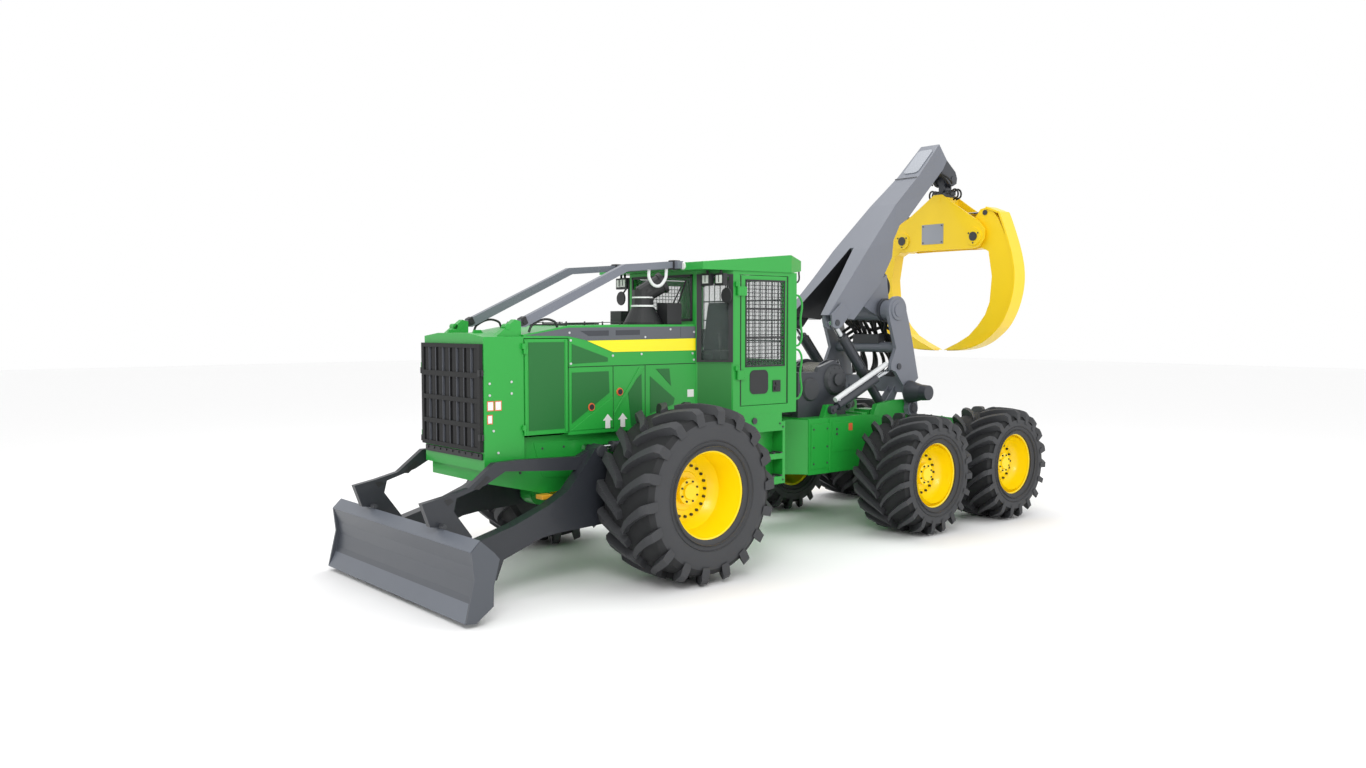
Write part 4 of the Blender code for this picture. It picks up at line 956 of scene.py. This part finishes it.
for side in (1, -1):
    box(deck, sided(side, 0.18, 0.42), (3.80, 4.02), (1.38, 1.46))
finish(deck, "rear_deck_blocks", GREEN, "rear", bevel=0.004)
for k in range(6):
    x = -0.25 + 0.10 * k
    hose(
        f"hitch_hose_{k}",
        [
            (x * 0.8, 1.93, 1.44), (x, 2.05, 1.50), (x * 1.1, 2.22, 1.49 + 0.01 * k), (x, 2.42, 1.47),
            (x * 0.8, 2.60, 1.44),
        ],
        0.014, BLACK, "rear",
    )
DRUM = (3.284, 1.857)
ROPE_RADIUS = 0.0155
rope = bmesh.new()
for k in range(11):
    x = -0.155 + 0.031 * k
    spin(rope, circle(x, 0.195, ROPE_RADIUS, 8), *DRUM, steps=48)
ROPE = coating("wire rope", colour(128, 126, 120), rough=0.45, metal=0.6, grain=300, bump=0.5)
finish(rope, "winch_rope", ROPE, "rear")
winch_trim = bmesh.new()
for side in (1, -1):
    pin(winch_trim, side, 0.30, 0.345, *DRUM, 0.20, 0.17, sides=40)
    pin(winch_trim, side, 0.345, 0.375, *DRUM, 0.075, sides=28)
    pin(winch_trim, side, 0.30, 0.33, 2.84, 1.75, 0.15, 0.13, sides=40)
    for at in circle(*DRUM, 0.15, 10):
        pin(winch_trim, side, 0.335, 0.352, *at, 0.010, sides=6)
bar(winch_trim, (-0.20, 2.80, 1.96), (-0.20, 2.80, 2.06), 0.035)
bar(winch_trim, (0.10, 2.85, 1.96), (0.10, 2.85, 2.03), 0.045)
finish(winch_trim, "winch_cases", CAST, "rear", bevel=0.004)

# ---- Arch ------------------------------------------------------------------------------------
# Two grey legs tied by tubes, with big pin caps at the head, steel side tubes over the cylinders painted
# near-white as a painted highlight, and bundles of black hoses behind the legs.

HOSE = coating("hydraulic hose", colour(18, 18, 19), rough=0.42)
# Painted highlight: the steel side tubes over the arch cylinders are painted near-white to stand in for their
# strong highlight.
SIDE_TUBE_HIGHLIGHT = coating("light side tube", colour(222, 224, 226), rough=0.3)
BOOM_PIVOT = (4.167, 2.733)
ARCH_HORN = (4.42, 1.67)
caps = bmesh.new()
for side in (1, -1):
    pin(caps, side, 0.585, 0.602, *BOOM_PIVOT, 0.135, 0.128, sides=48)
    pin(caps, side, 0.60, 0.612, *BOOM_PIVOT, 0.085, sides=40)
finish(caps, "arch_head_caps", GREY, "arch")
horns = bmesh.new()
for side in (1, -1):
    pin(horns, side, 0.60, 0.80, *ARCH_HORN, 0.150, 0.098, sides=32)
    pin(horns, side, 0.80, 0.904, *ARCH_HORN, 0.104, 0.096, sides=32)
finish(horns, "arch_horns", CHARCOAL, "arch", bevel=0.004)
arch_pins = bmesh.new()
for side in (1, -1):
    pin(arch_pins, side, 0.465, 0.60, 4.20, 2.007, 0.040, sides=28)
    pin(arch_pins, side, 0.25, 0.42, 4.20, 1.45, 0.034, sides=24)
    pin(arch_pins, side, 0.60, 0.612, *ARCH_PIVOT, 0.075, sides=28)
    pin(arch_pins, side, 0.60, 0.70, *ARCH_HORN, 0.110, 0.102, sides=28)
finish(arch_pins, "arch_pins_and_collars", CHARCOAL, "arch", bevel=0.003)
for side, hand in BOTH_HANDS:
    for k in range(6):
        x = side * (0.06 + 0.072 * k)
        bulge = 0.05 * sin(2.1 * k)
        hose(
            f"arch_hose_{hand}_{k}",
            [
                (x, 4.50, 1.88), (x * 1.05, 4.54 + bulge, 2.04),
                (x * 0.9 - side * bulge, 4.45, 2.24 + bulge), (x * 0.75, 4.36 - bulge, 2.46),
                (x * 0.9, 4.26, 2.60), (x * 0.8, 4.20, 2.70),
            ],
            0.024, HOSE, "arch",
        )
    for k in range(3):
        z = 2.36 + 0.09 * k
        hose(
            f"arch_cross_hose_{hand}_{k}",
            [
                (side * 0.46, 4.25, z - 0.12), (side * 0.36, 4.34 + 0.03 * k, z),
                (side * 0.18, 4.38, z + 0.06), (0, 4.36 + 0.02 * k, z + 0.02 * k),
            ],
            0.022, HOSE, "arch",
        )
blocks = bmesh.new()
box(blocks, (-0.30, 0.30), (4.40, 4.52), (1.86, 1.93))
box(blocks, (-0.22, 0.22), (4.23, 4.36), (2.30, 2.42))
finish(blocks, "arch_valve_blocks", CAST, "arch", bevel=0.004)
covers = bmesh.new()
for side in (1, -1):
    anchor, eye = Vector((side * 0.50, 3.02, 1.50)), Vector((side * 0.50, 4.20, 2.007))
    way = (eye - anchor).normalized()
    over = Vector((0, -way.z, way.y))
    bar(covers, anchor + way * 0.10 + over * 0.088, anchor + way * 1.16 + over * 0.088, 0.034, sides=24)
    bar(covers, anchor + way * 0.16 + over * 0.04, anchor + way * 0.16 + over * 0.09, 0.022)
finish(covers, "arch_cylinder_side_tubes", SIDE_TUBE_HIGHLIGHT, "arch_barrels")
boom_covers = bmesh.new()
for side in (1, -1):
    anchor, eye = Vector((side * 0.34, 4.20, 1.45)), Vector((side * 0.34, 3.206, 2.57))
    way = (eye - anchor).normalized()
    bar(boom_covers, anchor + way * 0.50, anchor + way * 0.72, 0.066, sides=32)
    bar(boom_covers, anchor + way * 1.225, anchor + way * 1.27, 0.067, sides=32)
    tube = Vector((0, way.z, -way.y)) * 0.085
    bar(boom_covers, anchor + way * 0.5 + tube, anchor + way * 1.2 + tube, 0.014)
finish(boom_covers, "boom_cylinder_bands", CAST, "boom_barrels")

# ---- Boom ------------------------------------------------------------------------------------
# Welded box boom that forks at its foot, with a blank plate near the tip, a weld seam, pin caps
# and hoses that leave its end for the grapple.



def slab(shape, foot, along, outline, thickness):
    """A thin plate on the boom's sloping top: (x, distance) points from its foot, and how thick it is."""
    lift = Vector((0, -along.z, along.y)) * thickness
    low = [shape.verts.new(Vector((x, 0, 0)) + foot + along * t) for x, t in outline]
    high = [shape.verts.new(vert.co + lift) for vert in low]
    shape.faces.new(low)
    shape.faces.new(high)
    for i in range(len(outline)):
        j = (i + 1) % len(outline)
        shape.faces.new((low[i], low[j], high[j], high[i]))


seam = bmesh.new()
boom_way = Vector((0, 0.6885, 0.7252))
seam_outline = [(-0.187, -0.006), (0.187, -0.006), (0.187, 0.006), (-0.187, 0.006)]
slab(seam, Vector((0, 5.05, 4.55)), boom_way, seam_outline, 0.006)
finish(seam, "boom_seam", CHARCOAL, "boom")
PLATE_GREY = coating("blank plate grey", colour(150, 154, 162), rough=0.4)
top_plate = bmesh.new()
foot_point, head_point = Vector((0, 5.14, 4.622)), Vector((0, 5.50, 4.974))
run = head_point - foot_point
half_wide, corner = 0.125, 0.06
plate_outline = rounded((corner - half_wide, half_wide - corner), (corner, run.length - corner), corner)
slab(top_plate, foot_point, run.normalized(), plate_outline, 0.010)
finish(top_plate, "boom_blank_plate", PLATE_GREY, "boom")
tip_covers = bmesh.new()
tip_outline = [
    (5.60, 4.86), (5.66, 4.695), (5.88, 4.518), (5.94, 4.503), (6.024, 4.545), (6.036, 4.622),
    (5.995, 4.706), (5.78, 4.86),
]
for side in (1, -1):
    side_plate(tip_covers, side, tip_outline, 0.087, 0.1335)
finish(tip_covers, "boom_tip_lug_covers", CHARCOAL, "boom")
TIP_PIN = (5.94, 4.60)
boom_pins = bmesh.new()
for side in (1, -1):
    pin(boom_pins, side, 0.245, 0.42, 3.206, 2.57, 0.040, sides=28)
    pin(boom_pins, side, 0.085, 0.145, *TIP_PIN, 0.045, sides=28)
    pin(boom_pins, side, 0.36, 0.40, *BOOM_PIVOT, 0.155, sides=40)
finish(boom_pins, "boom_pins", CHARCOAL, "boom", bevel=0.003)
for side, hand in BOTH_HANDS:
    for k in range(2):
        x = side * (0.09 + 0.04 * k)
        hose(
            f"boom_tip_hose_{hand}_{k}",
            [(x, 5.60, 4.66), (x * 1.4, 5.70, 4.62), (x * 1.6, 5.78, 4.56), (x * 1.5, 5.83, 4.53)], 0.014,
            HOSE, "boom",
        )
    for k in range(3):
        x = side * (0.09 + 0.05 * k)
        hose(
            f"boom_foot_hose_{hand}_{k}",
            [(x, 4.34, 2.86), (x * 1.2, 4.42, 3.02), (x, 4.38, 3.20), (x * 0.8, 4.30, 3.30)], 0.019, HOSE,
            "boom",
        )

# ---- Grapple -----------------------------------------------------------------------------------
# Rotator hung in a crosshead, a yellow head of two plates with a blank cover, and two curved
# tongs with thick welded edges on big capped pivots, worked by one cylinder between them.

rotator_trim = bmesh.new()
bar(rotator_trim, (0, 5.94, 4.345), (0, 5.94, 4.372), 0.142, sides=48)
for side in (1, -1):
    box(rotator_trim, sided(side, 0.055, 0.145), (5.885, 5.995), (4.375, 4.445))
    bar(rotator_trim, (side * 0.10, 5.83, 4.41), (side * 0.10, 5.89, 4.41), 0.022)
finish(rotator_trim, "rotator_motor", CAST, "rotator", bevel=0.004)
for side, hand in BOTH_HANDS:
    for k in range(2):
        y = 5.90 + 0.07 * k
        hose(
            f"rotator_hose_{hand}_{k}",
            [
                (side * 0.12, y, 4.42), (side * 0.21, y, 4.45), (side * 0.24, y + 0.01, 4.36),
                (side * 0.17, y, 4.31),
            ],
            0.013, HOSE, "grapple_head",
        )
TONG_X, TONG_Z = 0.61, 3.76  # where the tongs turn in the head
head_trim = bmesh.new()
for side in (1, -1):
    for face, out in ((5.77, 5.752), (6.11, 6.128)):
        bar(head_trim, (side * TONG_X, face, TONG_Z), (side * TONG_X, out, TONG_Z), 0.125, 0.120, sides=48)
bar(head_trim, (0, 5.765, 4.314), (0, 5.785, 4.314), 0.045, sides=28)
bar(head_trim, (0, 6.095, 4.314), (0, 6.115, 4.314), 0.045, sides=28)
finish(head_trim, "head_pin_bosses", GOLD, "grapple_head")
head_pins = bmesh.new()
for side in (1, -1):
    for face, out in ((5.755, 5.742), (6.125, 6.138)):
        bar(head_pins, (side * TONG_X, face, TONG_Z), (side * TONG_X, out, TONG_Z), 0.062, sides=32)
        bolt_top = out + (0.006 if out < TIP_PIN[0] else -0.006)
        for k in range(3):
            turn = 2 * pi * k / 3 + 0.5
            x, z = side * TONG_X + 0.088 * cos(turn), TONG_Z + 0.088 * sin(turn)
            bar(head_pins, (x, face, z), (x, bolt_top, z), 0.013, sides=6)
finish(head_pins, "head_pins", CAST, "grapple_head")
cover = bmesh.new()
for low, high in ((5.764, 5.7698), (6.1102, 6.116)):
    box(cover, (-0.265, 0.105), (low, high), (3.69, 3.97))
finish(cover, "head_blank_cover", PLATE_GREY, "grapple_head", bevel=0.0025)
cover_bolts = bmesh.new()
for x in (-0.24, 0.08):
    for z in (3.715, 3.945):
        bar(cover_bolts, (x, 5.764, z), (x, 5.757, z), 0.010, sides=8)
finish(cover_bolts, "head_cover_bolts", CAST, "grapple_head")
for side, hand in BOTH_HANDS:
    outer = [
        (0.76, 4.15), (0.93, 4.08), (0.99, 4.02), (1.16, 3.55), (1.22, 3.19), (1.17, 2.86), (1.04, 2.577),
        (0.87, 2.40), (0.66, 2.27), (0.40, 2.20), (0.10, 2.183),
    ]
    rim_strip = bmesh.new()
    points = [Vector((side * x, 0, z)) for x, z in outer]
    smooth_line = []
    for i in range(len(points) - 1):
        before, here = points[max(i - 1, 0)], points[i]
        there, after = points[i + 1], points[min(i + 2, len(points) - 1)]
        for k in range(5):
            t = k / 5
            square = (2 * before - 5 * here + 4 * there - after) * t * t
            cube = (3 * here - before - 3 * there + after) * t ** 3
            smooth_line.append(0.5 * ((2 * here) + (there - before) * t + square + cube))
    smooth_line.append(points[-1])
    rings = []
    for i, point in enumerate(smooth_line):
        ahead = smooth_line[min(i + 1, len(smooth_line) - 1)] - smooth_line[max(i - 1, 0)]
        outward = Vector((ahead.z, 0, -ahead.x)).normalized() * (-side)
        wide = 0.125 if i < len(smooth_line) - 8 else 0.125 - 0.012 * (i - len(smooth_line) + 8)
        low, high = point - outward * 0.016, point + outward * 0.010
        corners = ((low, -wide), (high, -wide), (high, wide), (low, wide))
        rings.append([rim_strip.verts.new((at.x, TIP_PIN[0] + w, at.z)) for at, w in corners])
    for here, there in zip(rings, rings[1:]):
        for j in range(4):
            rim_strip.faces.new((here[j], here[(j + 1) % 4], there[(j + 1) % 4], there[j]))
    rim_strip.faces.new(rings[0])
    rim_strip.faces.new(rings[-1])
    finish(rim_strip, f"tong_back_plate_{hand}", GOLD, f"tong_{hand}", smooth=0.5)
    tong_pins = bmesh.new()
    bar(tong_pins, (side * 0.74, 5.83, 4.08), (side * 0.74, 6.05, 4.08), 0.036, sides=24)
    finish(tong_pins, f"tong_lever_pin_{hand}", CAST, f"tong_{hand}")

# ---- Studio ------------------------------------------------------------------------------------
# A pale floor with large soft lights, and the camera low at the front left corner.

floor_paint = coating("studio floor", colour(250, 250, 250), rough=0.9, bump=0.0, mottle=0.005)
floor_mesh = bpy.data.meshes.new("floor")
floor_mesh.from_pydata([(-60, -60, 0), (60, -60, 0), (60, 60, 0), (-60, 60, 0)], [], [(0, 1, 2, 3)])
floor_mesh.materials.append(floor_paint)
floor = bpy.data.objects.new("floor", floor_mesh)
bpy.context.scene.collection.objects.link(floor)

world = bpy.data.worlds.new("studio")
world.use_nodes = True
sky = world.node_tree.nodes["Background"]
sky.inputs["Color"].default_value = (1, 1, 1, 1)
sky.inputs["Strength"].default_value = 1.0
bpy.context.scene.world = world
bpy.context.scene.view_settings.view_transform = "Standard"
for name, place, aim, size, power in (
    ("key light", (8.0, -8.0, 8.0), (0, 0, 1.5), 4.0, 420),
    ("side light", (10.0, 6.0, 7.0), (0, 1, 1.5), 5.0, 120),
    ("top light", (-2.0, 1.0, 11.0), (0, 0, 1.0), 7.0, 320),
    ("back light", (-8.0, 8.0, 7.0), (0, 0, 2.0), 5.0, 120),
):
    lamp = bpy.data.lights.new(name, "AREA")
    lamp.size = size
    lamp.energy = power
    light = bpy.data.objects.new(name, lamp)
    light.location = place
    light.rotation_euler = (Vector(aim) - Vector(place)).to_track_quat("-Z", "Y").to_euler()
    bpy.context.scene.collection.objects.link(light)

lens = bpy.data.cameras.new("camera")
lens.lens = 28.379
lens.sensor_width = 36
camera = bpy.data.objects.new("camera", lens)
camera.location = (9.3905, -8.7064, 2.560)
camera.rotation_euler = (radians(90 - 3.2109), 0, radians(49.6675))
bpy.context.scene.collection.objects.link(camera)
bpy.context.scene.camera = camera
